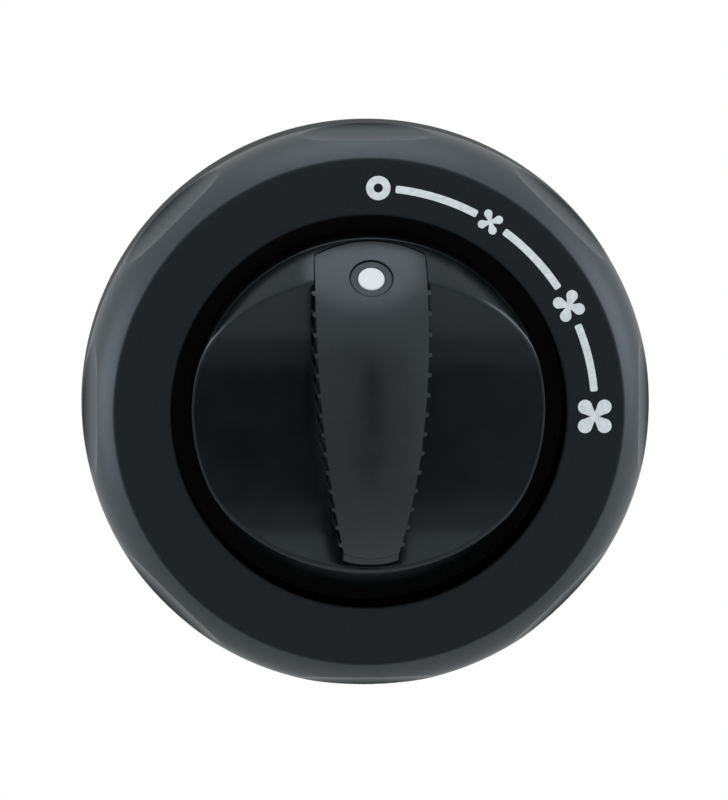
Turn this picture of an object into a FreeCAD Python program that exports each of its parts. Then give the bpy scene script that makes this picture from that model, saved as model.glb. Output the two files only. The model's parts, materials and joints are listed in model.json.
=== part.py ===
"""Fan speed control switch: a round panel switch with a scalloped bezel and a bladed knob.

Frame: millimetres, the turning axis lies along Y, the front faces -Y, +Z is up.
The origin is the centre of the plane on which the bezel rests against its panel.
Clock angles run clockwise from 12 o'clock as seen from the front.
"""
import FreeCAD
import Part
import math
import os
import Sketcher

RIBS = 14
# Driving sizes
SIZES = [
    ("bezel_r", 32.0, "outer radius of the bezel"),
    ("bezel_h", 10.5, "height of the bezel face above the panel"),
    ("band_h", 4.5, "straight band round the foot of the bezel"),
    ("rim_reach", 1.0, "centre of the rim's arc behind the band edge"),
    ("rim_soft", 0.8, "rounding between rim and face"),
    ("knob_share", 0.625, "knob radius as a share of the bezel radius"),
    ("knob_gap", 2.2, "space between knob and bezel"),
    ("bezel_well", 1.8, "wall round the opening"),
    ("bezel_wall", 2.0, "outer wall of the bezel"),
    ("face_wall", 2.2, "thickness of the face"),
    ("scallop_arc", 7.0, "radius of each scallop"),
    ("scallop_bite", 1.5, "depth of the scallops at the band"),
    ("scallop_drop", 1.87, "scallop centre line behind the face"),
    ("part_gap", 0.3, "space between neighbouring pieces"),
    ("root", 0.5, "depth to which a boss or post is rooted in its wall"),
    ("ear_in", 2.0, "housing screws outside the wall round the opening"),
    ("pilot_r", 1.25, "pilot hole for the panel screws"),
    ("pilot_roof", 3.5, "material in front of the panel pilot holes"),
    ("ear_pilot_deep", 4.0, "depth of the pilot holes of the housing screws"),
    ("ear_screw_in", 3.5, "reach of the housing screws into the bezel"),
    ("base_pilot_deep", 8.0, "depth of the pilot holes of the base screws"),
    ("base_screw_in", 7.0, "reach of the base screws into the housing"),
    ("small_screw_r", 1.0, "shank radius of the screws in the housing"),
    ("small_head_r", 2.1, "head radius of those screws"),
    ("small_head_h", 1.5, "head height of those screws"),
    ("recess_long", 1.3, "half length of the cross recess"),
    ("recess_half", 0.25, "half width of the cross recess"),
    ("recess_deep", 0.8, "depth of the cross recess"),
    ("screw_slack", 0.05, "space round a screw shank"),
    ("hole_slack", 0.2, "space round a screw in a through hole"),
    ("plate_front", 4.0, "front of the housing plate, ahead of the panel"),
    ("plate_wall", 2.0, "thickness of the housing plate"),
    ("cup_step", 0.5, "housing behind the panel inside its flange"),
    ("cup_wall", 1.8, "wall of the housing"),
    ("cup_back", 12.0, "rear rim of the housing"),
    ("bush_wall", 3.45, "wall of the bushing"),
    ("bush_back", 2.0, "rear end of the bushing"),
    ("run_slack", 0.05, "running clearance of spindle and rear pin"),
    ("base_wall", 4.0, "thickness of the terminal base"),
    ("base_boss_r", 2.6, "boss of the terminal base screws"),
    ("lamp_space", 1.7, "space between lamp holder and housing wall"),
    ("lamp_r", 2.3, "bulb radius"),
    ("lamp_slack", 0.4, "space round the bulb in the housing plate"),
    ("lamp_foot_r", 1.95, "lamp foot radius"),
    ("lamp_tab_at", 1.2, "lamp blades beside the middle of the lamp"),
    ("lamp_tab_half", 0.25, "half thickness of the lamp blades"),
    ("lamp_tab_wide", 1.1, "half width of the lamp blades"),
    ("lamp_tab_long", 7.0, "length of the lamp blades behind the base"),
    ("holder_r", 3.2, "lamp holder radius"),
    ("holder_long", 5.5, "length of the lamp holder"),
    ("glow_in", 4.4, "inner edge of the light ring inside the lamp's middle"),
    ("glow_out", 1.8, "outer edge of the light ring outside the lamp's middle"),
    ("glow_wall", 0.9, "thickness of the light ring"),
    ("glow_gap", 0.5, "space between light ring and light guide"),
    ("spindle_r", 3.0, "spindle radius"),
    ("spindle_out", 2.7, "front end of the spindle ahead of the bezel face"),
    ("flat_deep", 1.0, "depth of the flat on the spindle"),
    ("cam_share", 0.375, "cam radius as a share of the bezel radius"),
    ("drum_share", 0.25, "drum radius as a share of the bezel radius"),
    ("cam_gap", 0.6, "space between cam and stop blocks"),
    ("drum_step", 1.2, "length of the drum behind the cam"),
    ("pit_wall", 3.0, "drum wall round the spring pit"),
    ("pit_deep", 0.4, "depth of the spring pit"),
    ("pin_r", 2.0, "rear pin radius"),
    ("pin_in", 3.0, "reach of the rear pin into the terminal base"),
    ("lug_out", 2.5, "reach of the stop lug beyond the cam"),
    ("stop_half", 2.0, "half width of lug and stop blocks"),
    ("stop_clock", 40.0, "clock angle of the lug at the off position"),
    ("stop_ease", 1.2, "angle left between lug and block"),
    ("turn", 90.0, "turning range"),
    ("step", 30.0, "angle between two detents"),
    ("leaf_gap", 1.0, "space between leaf and cam"),
    ("leaf_wall", 0.4, "thickness of the leaf"),
    ("leaf_half", 9.8, "half length of the leaf"),
    ("leaf_in", 0.5, "leaf narrower than the cam on each side"),
    ("post_r", 1.2, "radius of the leaf posts"),
    ("post_in", 0.8, "posts inside the ends of the leaf"),
    ("nose_in", 1.15, "reach of the nose of the leaf"),
    ("nose_half", 0.45, "half width of the nose"),
    ("nose_back", 0.6, "half width at the back of the nose"),
    ("notch_half", 0.55, "half width of a notch at its floor"),
    ("notch_slack", 0.35, "space between nose and notch floor"),
    ("washer_r", 6.0, "thrust washer radius"),
    ("washer_wall", 0.5, "thrust washer thickness"),
    ("washer_slack", 0.1, "space between washer and spindle"),
    ("bridge_space", 2.4, "front of the contact bridge ahead of the terminal base"),
    ("bridge_wall", 0.8, "thickness of the contact bridge"),
    ("bridge_in", 0.6, "contact bridge smaller than the drum"),
    ("bridge_slack", 0.4, "space between contact bridge and rear pin"),
    ("spring_space", 1.6, "space between drum and contact bridge"),
    ("dog_r", 0.8, "driving post radius"),
    ("dog_slack", 0.15, "space round a driving post"),
    ("cone_wall", 0.35, "thickness of the cone spring"),
    ("cone_in_r", 2.6, "inner radius of the cone spring"),
    ("button_r", 1.2, "contact button radius"),
    ("button_h", 0.5, "contact button height"),
    ("arm_skin", 0.4, "arm of the bridge round the contact button"),
    ("contact_out", 2.2, "fixed contacts outside the contact bridge's ring"),
    ("supply_in", 3.4, "supply contact inside the drum radius"),
    ("head_r", 1.4, "rivet head radius"),
    ("head_h", 0.8, "rivet head height"),
    ("rivet_r", 1.15, "rivet shank radius"),
    ("tab_wall", 0.8, "terminal thickness"),
    ("tab_wide", 6.3, "terminal blade width"),
    ("tab_long", 9.2, "terminal blade length"),
    ("tab_in", 6.4, "outer edge of the blades inside the housing"),
    ("foot_half", 1.5, "half width of the terminal foot"),
    ("barrier_h", 6.0, "height of the barriers"),
    ("barrier_half", 0.5, "half thickness of the barriers"),
    ("barrier_past", 1.8, "barriers longer than the blades at both ends"),
    ("ball_share", 1.2, "dome radius as a share of the knob radius"),
    ("crest_share", 0.535, "crest of the dome ahead of the bezel face, as a share of the knob radius"),
    ("trough_share", 1.55, "radius of the finger scoops as a share of the knob radius"),
    ("trough_in", 1.0, "floor of the scoops behind the bezel face"),
    ("trough_low", 1.75, "middle of the scoops below the axis"),
    ("scoop_soft", 0.4, "rounding along the scoops"),
    ("skirt_gap", 1.5, "space between knob skirt and housing plate"),
    ("skirt_wall", 2.0, "knob skirt wall"),
    ("knob_wall", 2.0, "floor under the scoops"),
    ("slot_deep", 1.0, "depth of the grip slot"),
    ("slot_slack", 0.1, "space round the grip in its slot"),
    ("hub_wall", 1.15, "wall of the hub"),
    ("hub_roof", 1.0, "hub in front of the spindle"),
    ("hub_gap", 1.0, "space between hub and housing plate"),
    ("clip_wall", 0.4, "thickness of the spindle clip"),
    ("clip_half", 1.6, "half width of the spindle clip"),
    ("blade_top_in", 2.05, "upper corners of the blade inside the knob radius"),
    ("blade_top_share", 0.31, "half width there as a share of the knob radius"),
    ("top_arc_share", 0.675, "radius of the upper end as a share of the knob radius"),
    ("blade_low_in", 4.75, "lower corners of the blade inside the knob radius"),
    ("blade_low_share", 0.155, "half width there as a share of the knob radius"),
    ("low_arc_share", 0.36, "radius of the lower end as a share of the knob radius"),
    ("side_arc_share", 6.25, "radius of the blade's sides as a share of the knob radius"),
    ("hollow_share", 0.6, "half length of the blade's hollow as a share of the knob radius"),
    ("roof_gap", 1.6, "roof of that hollow ahead of the hub"),
    ("blade_skin", 1.2, "side wall of the blade"),
    ("rib_r", 0.25, "grip rib radius"),
    ("rib_out", 0.15, "middle of the ribs outside the blade's side"),
    ("rib_top_in", 3.75, "highest rib below the blade's upper corners"),
    ("rib_low_in", 1.05, "lowest rib above the blade's lower corners"),
    ("lip_out", 0.25, "width of the lip at the blade's lower end"),
    ("lip_drop", 0.3, "lip behind the dome"),
    ("well_r", 2.45, "radius of the pointer well"),
    ("well_deep", 0.3, "depth of the pointer well"),
    ("dot_out", 0.1, "pointer dot above the floor of its well"),
    ("pointer_in", 4.1, "pointer inside the knob radius"),
    ("guide_r", 1.5, "light guide radius"),
    ("guide_rod_r", 1.275, "light guide radius behind its bend"),
    ("guide_slack", 0.1, "space round the light guide"),
    ("guide_bend", 2.5, "depth of the bend in the light guide"),
    ("sleeve_wall", 1.0, "wall of the light guide's sleeve"),
]
# Sizes that follow from the driving ones
DERIVED = [
    ("rim_arc", "bezel_h - band_h + rim_reach"),
    ("face_edge_r", "bezel_r - rim_arc + sqrt(rim_arc ^ 2 - (bezel_h - band_h) ^ 2)"),
    ("knob_r", "knob_share * bezel_r"),
    ("bezel_in_r", "knob_r + knob_gap"),
    ("flange_r", "bezel_in_r + bezel_well"),
    ("cup_r", "flange_r - cup_step"),
    ("scallop_at", "bezel_r + scallop_arc - scallop_bite"),
    ("screw_at", "(flange_r + bezel_r - bezel_wall) / 2"),
    ("boss_r", "(bezel_r - bezel_wall - flange_r) / 2 - part_gap"),
    ("ear_at", "flange_r + ear_in"),
    ("ear_r", "boss_r + part_gap"),
    ("pilot_deep", "bezel_h - pilot_roof"),
    ("plate_back", "plate_front - plate_wall"),
    ("bush_r", "spindle_r + run_slack + bush_wall"),
    ("base_back", "cup_back + base_wall"),
    ("base_screw_at", "cup_r - cup_wall - base_boss_r + root"),
    ("lamp_at", "cup_r - cup_wall - holder_r - lamp_space"),
    ("holder_front", "cup_back - holder_long"),
    ("bulb_back", "holder_front - 2 * screw_slack"),
    ("bulb_front", "plate_back + 2 * root"),
    ("glow_in_r", "lamp_at - glow_in"),
    ("glow_out_r", "lamp_at + glow_out"),
    ("glow_front", "plate_front + glow_wall"),
    ("spindle_front", "bezel_h + spindle_out"),
    ("flat_at", "spindle_r - flat_deep"),
    ("flat_back", "plate_front + plate_wall"),
    ("cam_r", "cam_share * bezel_r"),
    ("drum_r", "drum_share * bezel_r"),
    ("bridge_front", "cup_back - bridge_space"),
    ("drum_back", "bridge_front - spring_space"),
    ("cam_front", "bush_back + washer_wall + part_gap"),
    ("cam_back", "drum_back - drum_step"),
    ("pit_r", "drum_r - pit_wall"),
    ("pit_front", "drum_back - pit_deep"),
    ("pin_back", "cup_back + pin_in"),
    ("stop_r", "cam_r + lug_out"),
    ("leaf_x", "cam_r + leaf_gap"),
    ("bridge_r", "drum_r - bridge_in"),
    ("dog_at", "(drum_r + pit_r) / 2 - part_gap"),
    ("cone_out_r", "pit_r - part_gap"),
    ("arm_half", "button_r + arm_skin"),
    ("contact_at", "bridge_r + contact_out"),
    ("supply_at", "drum_r - supply_in"),
    ("tab_out", "cup_r - tab_in"),
    ("barrier_in", "tab_out - tab_wide - barrier_past"),
    ("barrier_out", "tab_out + barrier_past"),
    ("dome_ball", "ball_share * knob_r"),
    ("dome_h", "bezel_h + crest_share * knob_r"),
    ("ball_y", "dome_ball - dome_h"),
    ("dome_foot", "sqrt(dome_ball ^ 2 - knob_r ^ 2) - ball_y"),
    ("skirt_back", "plate_front + skirt_gap"),
    ("sleeve_back", "glow_front + skirt_gap"),
    ("trough_arc", "trough_share * knob_r"),
    ("trough_h", "bezel_h - trough_in"),
    ("slot_h", "trough_h - slot_deep"),
    ("tower_r", "spindle_r + run_slack + hub_wall"),
    ("tower_h", "spindle_front + hub_roof"),
    ("hub_back", "plate_front + hub_gap"),
    ("blade_top_z", "knob_r - blade_top_in"),
    ("blade_top_half", "blade_top_share * knob_r"),
    ("blade_top_arc", "top_arc_share * knob_r"),
    ("blade_low_z", "knob_r - blade_low_in"),
    ("blade_low_half", "blade_low_share * knob_r"),
    ("blade_low_arc", "low_arc_share * knob_r"),
    ("blade_side_arc", "side_arc_share * knob_r"),
    ("blade_hollow", "hollow_share * knob_r"),
    ("blade_roof", "tower_h + roof_gap"),
    ("rib_top", "blade_top_z - rib_top_in"),
    ("rib_pitch", "(rib_top + blade_low_z - rib_low_in) / %d" % (RIBS - 1)),
    ("pointer_z", "knob_r - pointer_in"),
    ("lean_cos", "sqrt(1 - (pointer_z / dome_ball) ^ 2)"),
    ("side_run", "blade_top_half - blade_low_half"),
    ("side_rise", "blade_top_z + blade_low_z"),
    ("side_chord", "sqrt(side_run ^ 2 + side_rise ^ 2)"),
    ("side_depth", "sqrt(blade_side_arc ^ 2 - (side_chord / 2) ^ 2)"),
    ("side_x", "(blade_top_half + blade_low_half) / 2 - side_depth * side_rise / side_chord"),
    ("side_z", "(blade_top_z - blade_low_z) / 2 + side_depth * side_run / side_chord"),
    ("stop_span", "2 * asin(stop_half / cam_r) / 1deg + stop_ease"),
]
FACE_SCREWS = (0, 120, 240)
HOUSING_SCREWS = (60, 180, 300)
BASE_SCREWS = (90, 210, 330)
CONTACT_CLOCK = 90
SUPPLY_CLOCK = 300

doc = FreeCAD.newDocument("fan_switch")
sheet = doc.addObject("Spreadsheet::Sheet", "D")
for row, (alias, size, note) in enumerate(SIZES, 1):
    sheet.set("A%d" % row, note)
    sheet.set("B%d" % row, str(size))
    sheet.setAlias("B%d" % row, alias)
for row, (alias, formula) in enumerate(DERIVED, len(SIZES) + 1):
    sheet.set("B%d" % row, "=" + formula)
    sheet.setAlias("B%d" % row, alias)
doc.recompute()


# Drawing helpers
def value(text):
    """Number that an expression over the sheet gives now."""
    return float(sheet.evalExpression(text))


def new_body(label):
    """Empty body named after its sub-part."""
    body = doc.addObject("PartDesign::Body", label)
    body.Label = label
    return body


def new_sketch(body, name, plane, level="0"):
    """Sketch on an origin plane of its body, lifted along the plane's normal."""
    sketch = body.newObject("Sketcher::SketchObject", name)
    support = [item for item in body.Origin.OriginFeatures if item.Role == plane][0]
    sketch.AttachmentSupport = [(support, "")]
    sketch.MapMode = "FlatFace"
    sketch.setExpression("AttachmentOffset.Base.z", level)
    return sketch


def bind(sketch, kind, where, text):
    """Dimension driven by an expression."""
    index = sketch.addConstraint(Sketcher.Constraint(kind, *where, value(text)))
    sketch.setExpression("Constraints[%d]" % index, text)


def arc_between(start, end, radius, turn):
    """Minor arc from start to end, turning left (+1) or right (-1)."""
    chord = end - start
    half = chord.Length / 2
    side = FreeCAD.Vector(-chord.y, chord.x, 0) / chord.Length * turn
    centre = (start + end) / 2 + side * math.sqrt(max(radius ** 2 - half ** 2, 0))
    first, last = (start, end) if turn > 0 else (end, start)
    angles = [math.atan2(spot.y - centre.y, spot.x - centre.x) for spot in (first, last)]
    circle = Part.Circle(centre, FreeCAD.Vector(0, 0, 1), radius)
    return Part.ArcOfCircle(circle, angles[0], angles[1])


def add_loop(sketch, corners):
    """Closed outline; a corner with a third entry (radius, turn) starts an arc."""
    spots = [FreeCAD.Vector(value(corner[0]), value(corner[1]), 0) for corner in corners]
    edges = []
    for index, corner in enumerate(corners):
        start, end = spots[index], spots[(index + 1) % len(spots)]
        if len(corner) > 2:
            radius, turn = corner[2]
            edge = sketch.addGeometry(arc_between(start, end, value(radius), turn), False)
            edges.append((edge, 1, 2) if turn > 0 else (edge, 2, 1))
        else:
            edges.append((sketch.addGeometry(Part.LineSegment(start, end), False), 1, 2))
    for index, edge in enumerate(edges):
        follower = edges[(index + 1) % len(edges)]
        sketch.addConstraint(Sketcher.Constraint("Coincident", edge[0], edge[2], follower[0], follower[1]))
    for edge, corner in zip(edges, corners):
        bind(sketch, "DistanceX", edge[:2], corner[0])
        bind(sketch, "DistanceY", edge[:2], corner[1])
        if len(corner) > 2:
            bind(sketch, "Radius", edge[:1], corner[2][0])


def add_circle(sketch, x, y, radius):
    """Circle fixed by its centre and radius."""
    centre = FreeCAD.Vector(value(x), value(y), 0)
    ring = sketch.addGeometry(Part.Circle(centre, FreeCAD.Vector(0, 0, 1), value(radius)), False)
    bind(sketch, "DistanceX", (ring, 3), x)
    bind(sketch, "DistanceY", (ring, 3), y)
    bind(sketch, "Radius", (ring,), radius)


def clock_spot(radius, clock, aside="0"):
    """Sheet expressions of a point given by radius, clock angle and sideways step."""
    x = "(%s) * sin(%s) + (%s) * cos(%s)" % (radius, clock, aside, clock)
    z = "(%s) * cos(%s) - (%s) * sin(%s)" % (radius, clock, aside, clock)
    return x, z


def clock_loop(sketch, clock, corners):
    """Outline of (radius, sideways) corners turned to a clock angle."""
    add_loop(sketch, [clock_spot(radius, clock, aside) for radius, aside in corners])


def spoke(sketch, clock, inner, outer, left, right):
    """Rectangle lying along a radius."""
    clock_loop(sketch, clock, [(inner, left), (outer, left), (outer, right), (inner, right)])


def clock_circles(sketch, clocks, at, radius):
    """Equal circles on one pitch circle."""
    for clock in clocks:
        add_circle(sketch, *clock_spot(at, clock), radius)


def turned(body, name, corners, kind="PartDesign::Revolution"):
    """Full turn of an outline of (radius, y) corners about the Y axis."""
    sketch = new_sketch(body, name + "_outline", "XY_Plane")
    add_loop(sketch, corners)
    feature = body.newObject(kind, name)
    feature.Profile = sketch
    feature.ReferenceAxis = (sketch, ["V_Axis"])
    feature.Angle = 360
    return feature


def extruded(body, name, kind, level, length, draw):
    """Outlines seen from the front, made into a pad towards -Y or a pocket towards +Y."""
    sketch = new_sketch(body, name + "_outline", "XZ_Plane", level)
    draw(sketch)
    feature = body.newObject(kind, name)
    feature.Profile = sketch
    feature.setExpression("Length", length)
    return feature


def slab(body, name, back, front, draw):
    """Pad between two y levels."""
    level = "-(%s)" % back
    return extruded(body, name, "PartDesign::Pad", level, "(%s) - (%s)" % (back, front), draw)


def cut(body, name, back, front, draw):
    """Pocket between two y levels; it has to remove material."""
    doc.recompute()
    before = body.Shape.Volume
    level = "-(%s)" % front
    feature = extruded(body, name, "PartDesign::Pocket", level, "(%s) - (%s)" % (back, front), draw)
    doc.recompute()
    if body.Shape.Volume >= before - 1e-6:
        raise RuntimeError("pocket %s removed nothing" % name)
    return feature


def soften(body, name, radius, wanted):
    """Rounding of the edges that a test picks out."""
    doc.recompute()
    base = body.Tip
    names = ["Edge%d" % (index + 1) for index, edge in enumerate(base.Shape.Edges) if wanted(edge)]
    feature = body.newObject("PartDesign::Fillet", name)
    feature.Base = (base, names)
    feature.setExpression("Radius", radius)
    return feature


def ring_edge(radius, level):
    """Test for a full or part circle about the axis."""
    def wanted(edge):
        curve = edge.Curve
        if not isinstance(curve, Part.Circle):
            return False
        centred = math.hypot(curve.Center.x, curve.Center.z) < 0.01
        return centred and abs(curve.Radius - value(radius)) < 0.01 and abs(curve.Center.y - value(level)) < 0.01
    return wanted


# Bezel and housing
def make_bezel():
    """Scalloped ring moulding with screw bosses in its hollow back."""
    body = new_body("bezel")
    turned(body, "bezel_ring", [
        ("D.bezel_r", "0"),
        ("D.bezel_r", "-D.band_h", ("D.rim_arc", -1)),
        ("D.face_edge_r", "-D.bezel_h"),
        ("D.bezel_in_r", "-D.bezel_h"),
        ("D.bezel_in_r", "-D.plate_front"),
        ("D.bezel_in_r + D.bezel_well", "-D.plate_front"),
        ("D.bezel_in_r + D.bezel_well", "D.face_wall - D.bezel_h"),
        ("D.face_edge_r - D.rim_soft", "D.face_wall - D.bezel_h"),
        ("D.bezel_r - D.bezel_wall", "-D.band_h"),
        ("D.bezel_r - D.bezel_wall", "0"),
    ])
    soften(body, "bezel_face_edge", "D.rim_soft", ring_edge("D.face_edge_r", "-D.bezel_h"))
    soften(body, "bezel_opening_edge", "D.rim_soft / 2", ring_edge("D.bezel_in_r", "-D.bezel_h"))
    sketch = new_sketch(body, "scallop_outline", "YZ_Plane")
    add_circle(sketch, "D.scallop_drop - D.bezel_h", "D.scallop_at", "D.scallop_arc")
    scallop = body.newObject("PartDesign::Pocket", "scallop")
    scallop.Profile = sketch
    scallop.SideType = "Symmetric"
    scallop.setExpression("Length", "D.bezel_r")
    scallops = body.newObject("PartDesign::PolarPattern", "scallops")
    scallops.Originals = [scallop]
    scallops.Axis = ([item for item in body.Origin.OriginFeatures if item.Role == "Y_Axis"][0], [""])
    scallops.Angle = 360
    scallops.Occurrences = 8
    body.Tip = scallops
    inside = "D.face_wall - D.bezel_h - D.root"
    slab(body, "panel_bosses", "0", inside,
         lambda sketch: clock_circles(sketch, FACE_SCREWS, "D.screw_at", "D.boss_r"))
    slab(body, "housing_bosses", "-D.plate_front", inside,
         lambda sketch: clock_circles(sketch, HOUSING_SCREWS, "D.ear_at", "D.boss_r"))
    cut(body, "panel_pilots", "0", "-D.pilot_deep",
        lambda sketch: clock_circles(sketch, FACE_SCREWS, "D.screw_at", "D.pilot_r"))
    cut(body, "housing_pilots", "-D.plate_front", "-D.plate_front - D.ear_pilot_deep",
        lambda sketch: clock_circles(sketch, HOUSING_SCREWS, "D.ear_at", "D.small_screw_r + D.screw_slack"))
    return body


def make_housing():
    """Rear cup with front plate, bushing, ears, stop blocks and leaf posts."""
    body = new_body("housing")
    bore = "D.spindle_r + D.run_slack"
    inner = "D.cup_r - D.cup_wall"
    turned(body, "housing_cup", [
        (bore, "-D.plate_front"),
        ("D.flange_r", "-D.plate_front"),
        ("D.flange_r", "-D.plate_back"),
        ("D.cup_r", "-D.plate_back"),
        ("D.cup_r", "D.cup_back"),
        (inner, "D.cup_back"),
        (inner, "-D.plate_back"),
        ("D.bush_r", "-D.plate_back"),
        ("D.bush_r", "D.bush_back"),
        (bore, "D.bush_back"),
    ])
    slab(body, "ears", "-D.plate_back", "-D.plate_front",
         lambda sketch: clock_circles(sketch, HOUSING_SCREWS, "D.ear_at", "D.ear_r"))

    def webs(sketch):
        for clock in HOUSING_SCREWS:
            spoke(sketch, clock, "D.cup_r - D.cup_wall", "D.ear_at", "D.part_gap - D.ear_r", "D.ear_r - D.part_gap")
    slab(body, "ear_webs", "-D.plate_back", "-D.plate_front", webs)
    cut(body, "ear_holes", "-D.plate_back", "-D.plate_front",
        lambda sketch: clock_circles(sketch, HOUSING_SCREWS, "D.ear_at", "D.small_screw_r + D.hole_slack"))
    slab(body, "base_bosses", "D.cup_back", "-D.plate_back",
         lambda sketch: clock_circles(sketch, BASE_SCREWS, "D.base_screw_at", "D.base_boss_r"))
    cut(body, "base_pilots", "D.cup_back", "D.cup_back - D.base_pilot_deep",
        lambda sketch: clock_circles(sketch, BASE_SCREWS, "D.base_screw_at", "D.small_screw_r + D.screw_slack"))
    cut(body, "lamp_window", "-D.plate_back", "-D.plate_front",
        lambda sketch: add_circle(sketch, "0", "D.lamp_at", "D.lamp_r + D.lamp_slack"))

    def stops(sketch):
        for clock in ("D.stop_clock - D.stop_span", "D.stop_clock + D.turn + D.stop_span"):
            spoke(sketch, clock, "D.cam_r + D.cam_gap", inner + " + D.cup_wall / 2", "-D.stop_half", "D.stop_half")
    slab(body, "stop_blocks", "D.cam_back", "-D.plate_back - D.root", stops)

    def posts(sketch):
        for side in ("", "-"):
            add_circle(sketch, "-D.leaf_x - D.leaf_wall - D.post_r", side + "(D.leaf_half - D.post_in)", "D.post_r")
    slab(body, "leaf_posts", "D.cam_back", "-D.plate_back - D.root", posts)
    return body


def make_screws(label, clocks, at, seat, tip):
    """Pan head screws of one kind, heads to the rear, with a cross recess."""
    body = new_body(label)
    crown = "(%s) + D.small_head_h" % seat
    slab(body, label + "_heads", crown, seat,
         lambda sketch: clock_circles(sketch, clocks, at, "D.small_head_r"))
    slab(body, label + "_shanks", seat, tip,
         lambda sketch: clock_circles(sketch, clocks, at, "D.small_screw_r"))

    def slot(sketch):
        for clock in clocks:
            spoke(sketch, clock, at + " - D.recess_long", at + " + D.recess_long",
                  "-D.recess_half", "D.recess_half")
    cut(body, label + "_recess", crown, crown + " - D.recess_deep", slot)

    def cross(sketch):
        for clock in clocks:
            spoke(sketch, clock, at + " - D.recess_half", at + " + D.recess_half",
                  "-D.recess_long", "D.recess_long")
    cut(body, label + "_recess_across", crown, crown + " - D.recess_deep", cross)
    return body


# Rear of the switch
def make_terminal_base():
    """Rear plate that carries the terminals, the lamp and the rear bearing."""
    body = new_body("terminal_base")
    slab(body, "base_plate", "D.base_back", "D.cup_back",
         lambda sketch: add_circle(sketch, "0", "0", "D.cup_r"))

    def barriers(sketch):
        for count in (1.5, 2.5):
            spoke(sketch, "%d + %s * D.step" % (CONTACT_CLOCK, count), "D.barrier_in", "D.barrier_out",
                  "-D.barrier_half", "D.barrier_half")
    slab(body, "barriers", "D.base_back + D.barrier_h", "D.base_back", barriers)
    cut(body, "rear_bearing", "D.pin_back + D.part_gap", "D.cup_back",
        lambda sketch: add_circle(sketch, "0", "0", "D.pin_r + D.run_slack"))
    cut(body, "base_holes", "D.base_back", "D.cup_back",
        lambda sketch: clock_circles(sketch, BASE_SCREWS, "D.base_screw_at", "D.small_screw_r + D.hole_slack"))

    def rivets(sketch):
        for clock in contact_clocks():
            add_circle(sketch, *clock_spot("D.contact_at", clock), "D.rivet_r")
        add_circle(sketch, *clock_spot("D.supply_at", SUPPLY_CLOCK), "D.rivet_r")
    cut(body, "rivet_holes", "D.base_back", "D.cup_back", rivets)
    cut(body, "lamp_slots", "D.base_back", "D.cup_back", lamp_tabs)
    return body


def contact_clocks():
    """Clock angles of the low, medium and high contacts."""
    return ["%d + %d * D.step" % (CONTACT_CLOCK, count) for count in (1, 2, 3)]


def lamp_tabs(sketch):
    """Two small blades behind the lamp."""
    for side in ("-", ""):
        middle = side + "D.lamp_tab_at"
        add_loop(sketch, [
            (middle + " - D.lamp_tab_half", "D.lamp_at - D.lamp_tab_wide"),
            (middle + " + D.lamp_tab_half", "D.lamp_at - D.lamp_tab_wide"),
            (middle + " + D.lamp_tab_half", "D.lamp_at + D.lamp_tab_wide"),
            (middle + " - D.lamp_tab_half", "D.lamp_at + D.lamp_tab_wide"),
        ])


def make_terminal(label, at, clock):
    """Riveted contact with its foot and blade."""
    body = new_body(label)
    x, z = clock_spot(at, clock)
    slab(body, label + "_head", "D.cup_back", "D.cup_back - D.head_h",
         lambda sketch: add_circle(sketch, x, z, "D.head_r"))
    slab(body, label + "_rivet", "D.base_back", "D.cup_back",
         lambda sketch: add_circle(sketch, x, z, "D.rivet_r"))
    foot_back = "D.base_back + D.tab_wall"
    slab(body, label + "_foot", foot_back, "D.base_back",
         lambda sketch: spoke(sketch, clock, at + " - D.foot_half", "D.tab_out", "-D.foot_half", "D.foot_half"))
    slab(body, label + "_blade", foot_back + " + D.tab_long", foot_back,
         lambda sketch: spoke(sketch, clock, "D.tab_out - D.tab_wide", "D.tab_out",
                              "-D.foot_half", "D.tab_wall - D.foot_half"))
    return body


def make_terminal_lamp():
    """Pair of small blades that feed the lamp."""
    body = new_body("terminal_lamp")
    slab(body, "lamp_blades", "D.base_back + D.lamp_tab_long", "D.cup_back - D.head_h", lamp_tabs)
    return body


def make_lamp_holder():
    """Tube on the terminal base that takes the lamp foot."""
    body = new_body("lamp_holder")

    def tube(sketch):
        add_circle(sketch, "0", "D.lamp_at", "D.holder_r")
        add_circle(sketch, "0", "D.lamp_at", "D.lamp_foot_r + D.screw_slack")
    slab(body, "holder_tube", "D.cup_back", "D.holder_front", tube)
    return body


def make_lamp():
    """Small bulb with a round tip on a plain foot."""
    body = new_body("lamp")
    slab(body, "lamp_foot", "D.cup_back - D.head_h", "D.bulb_back",
         lambda sketch: add_circle(sketch, "0", "D.lamp_at", "D.lamp_foot_r"))
    slab(body, "lamp_bulb", "D.bulb_back", "-D.bulb_front",
         lambda sketch: add_circle(sketch, "0", "D.lamp_at", "D.lamp_r"))

    def tip(edge):
        front = abs(edge.BoundBox.YMax - value("-D.bulb_front")) < 0.01
        return front and edge.BoundBox.YLength < 0.01
    soften(body, "lamp_tip", "D.lamp_r * 0.9", tip)
    return body


def make_light_ring():
    """Clear ring that carries the lamp's light round to the pointer."""
    body = new_body("light_ring")
    turned(body, "glow_ring", [
        ("D.glow_in_r", "-D.plate_front"),
        ("D.glow_in_r", "-D.glow_front"),
        ("D.glow_out_r", "-D.glow_front"),
        ("D.glow_out_r", "-D.plate_front"),
    ])
    return body


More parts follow.
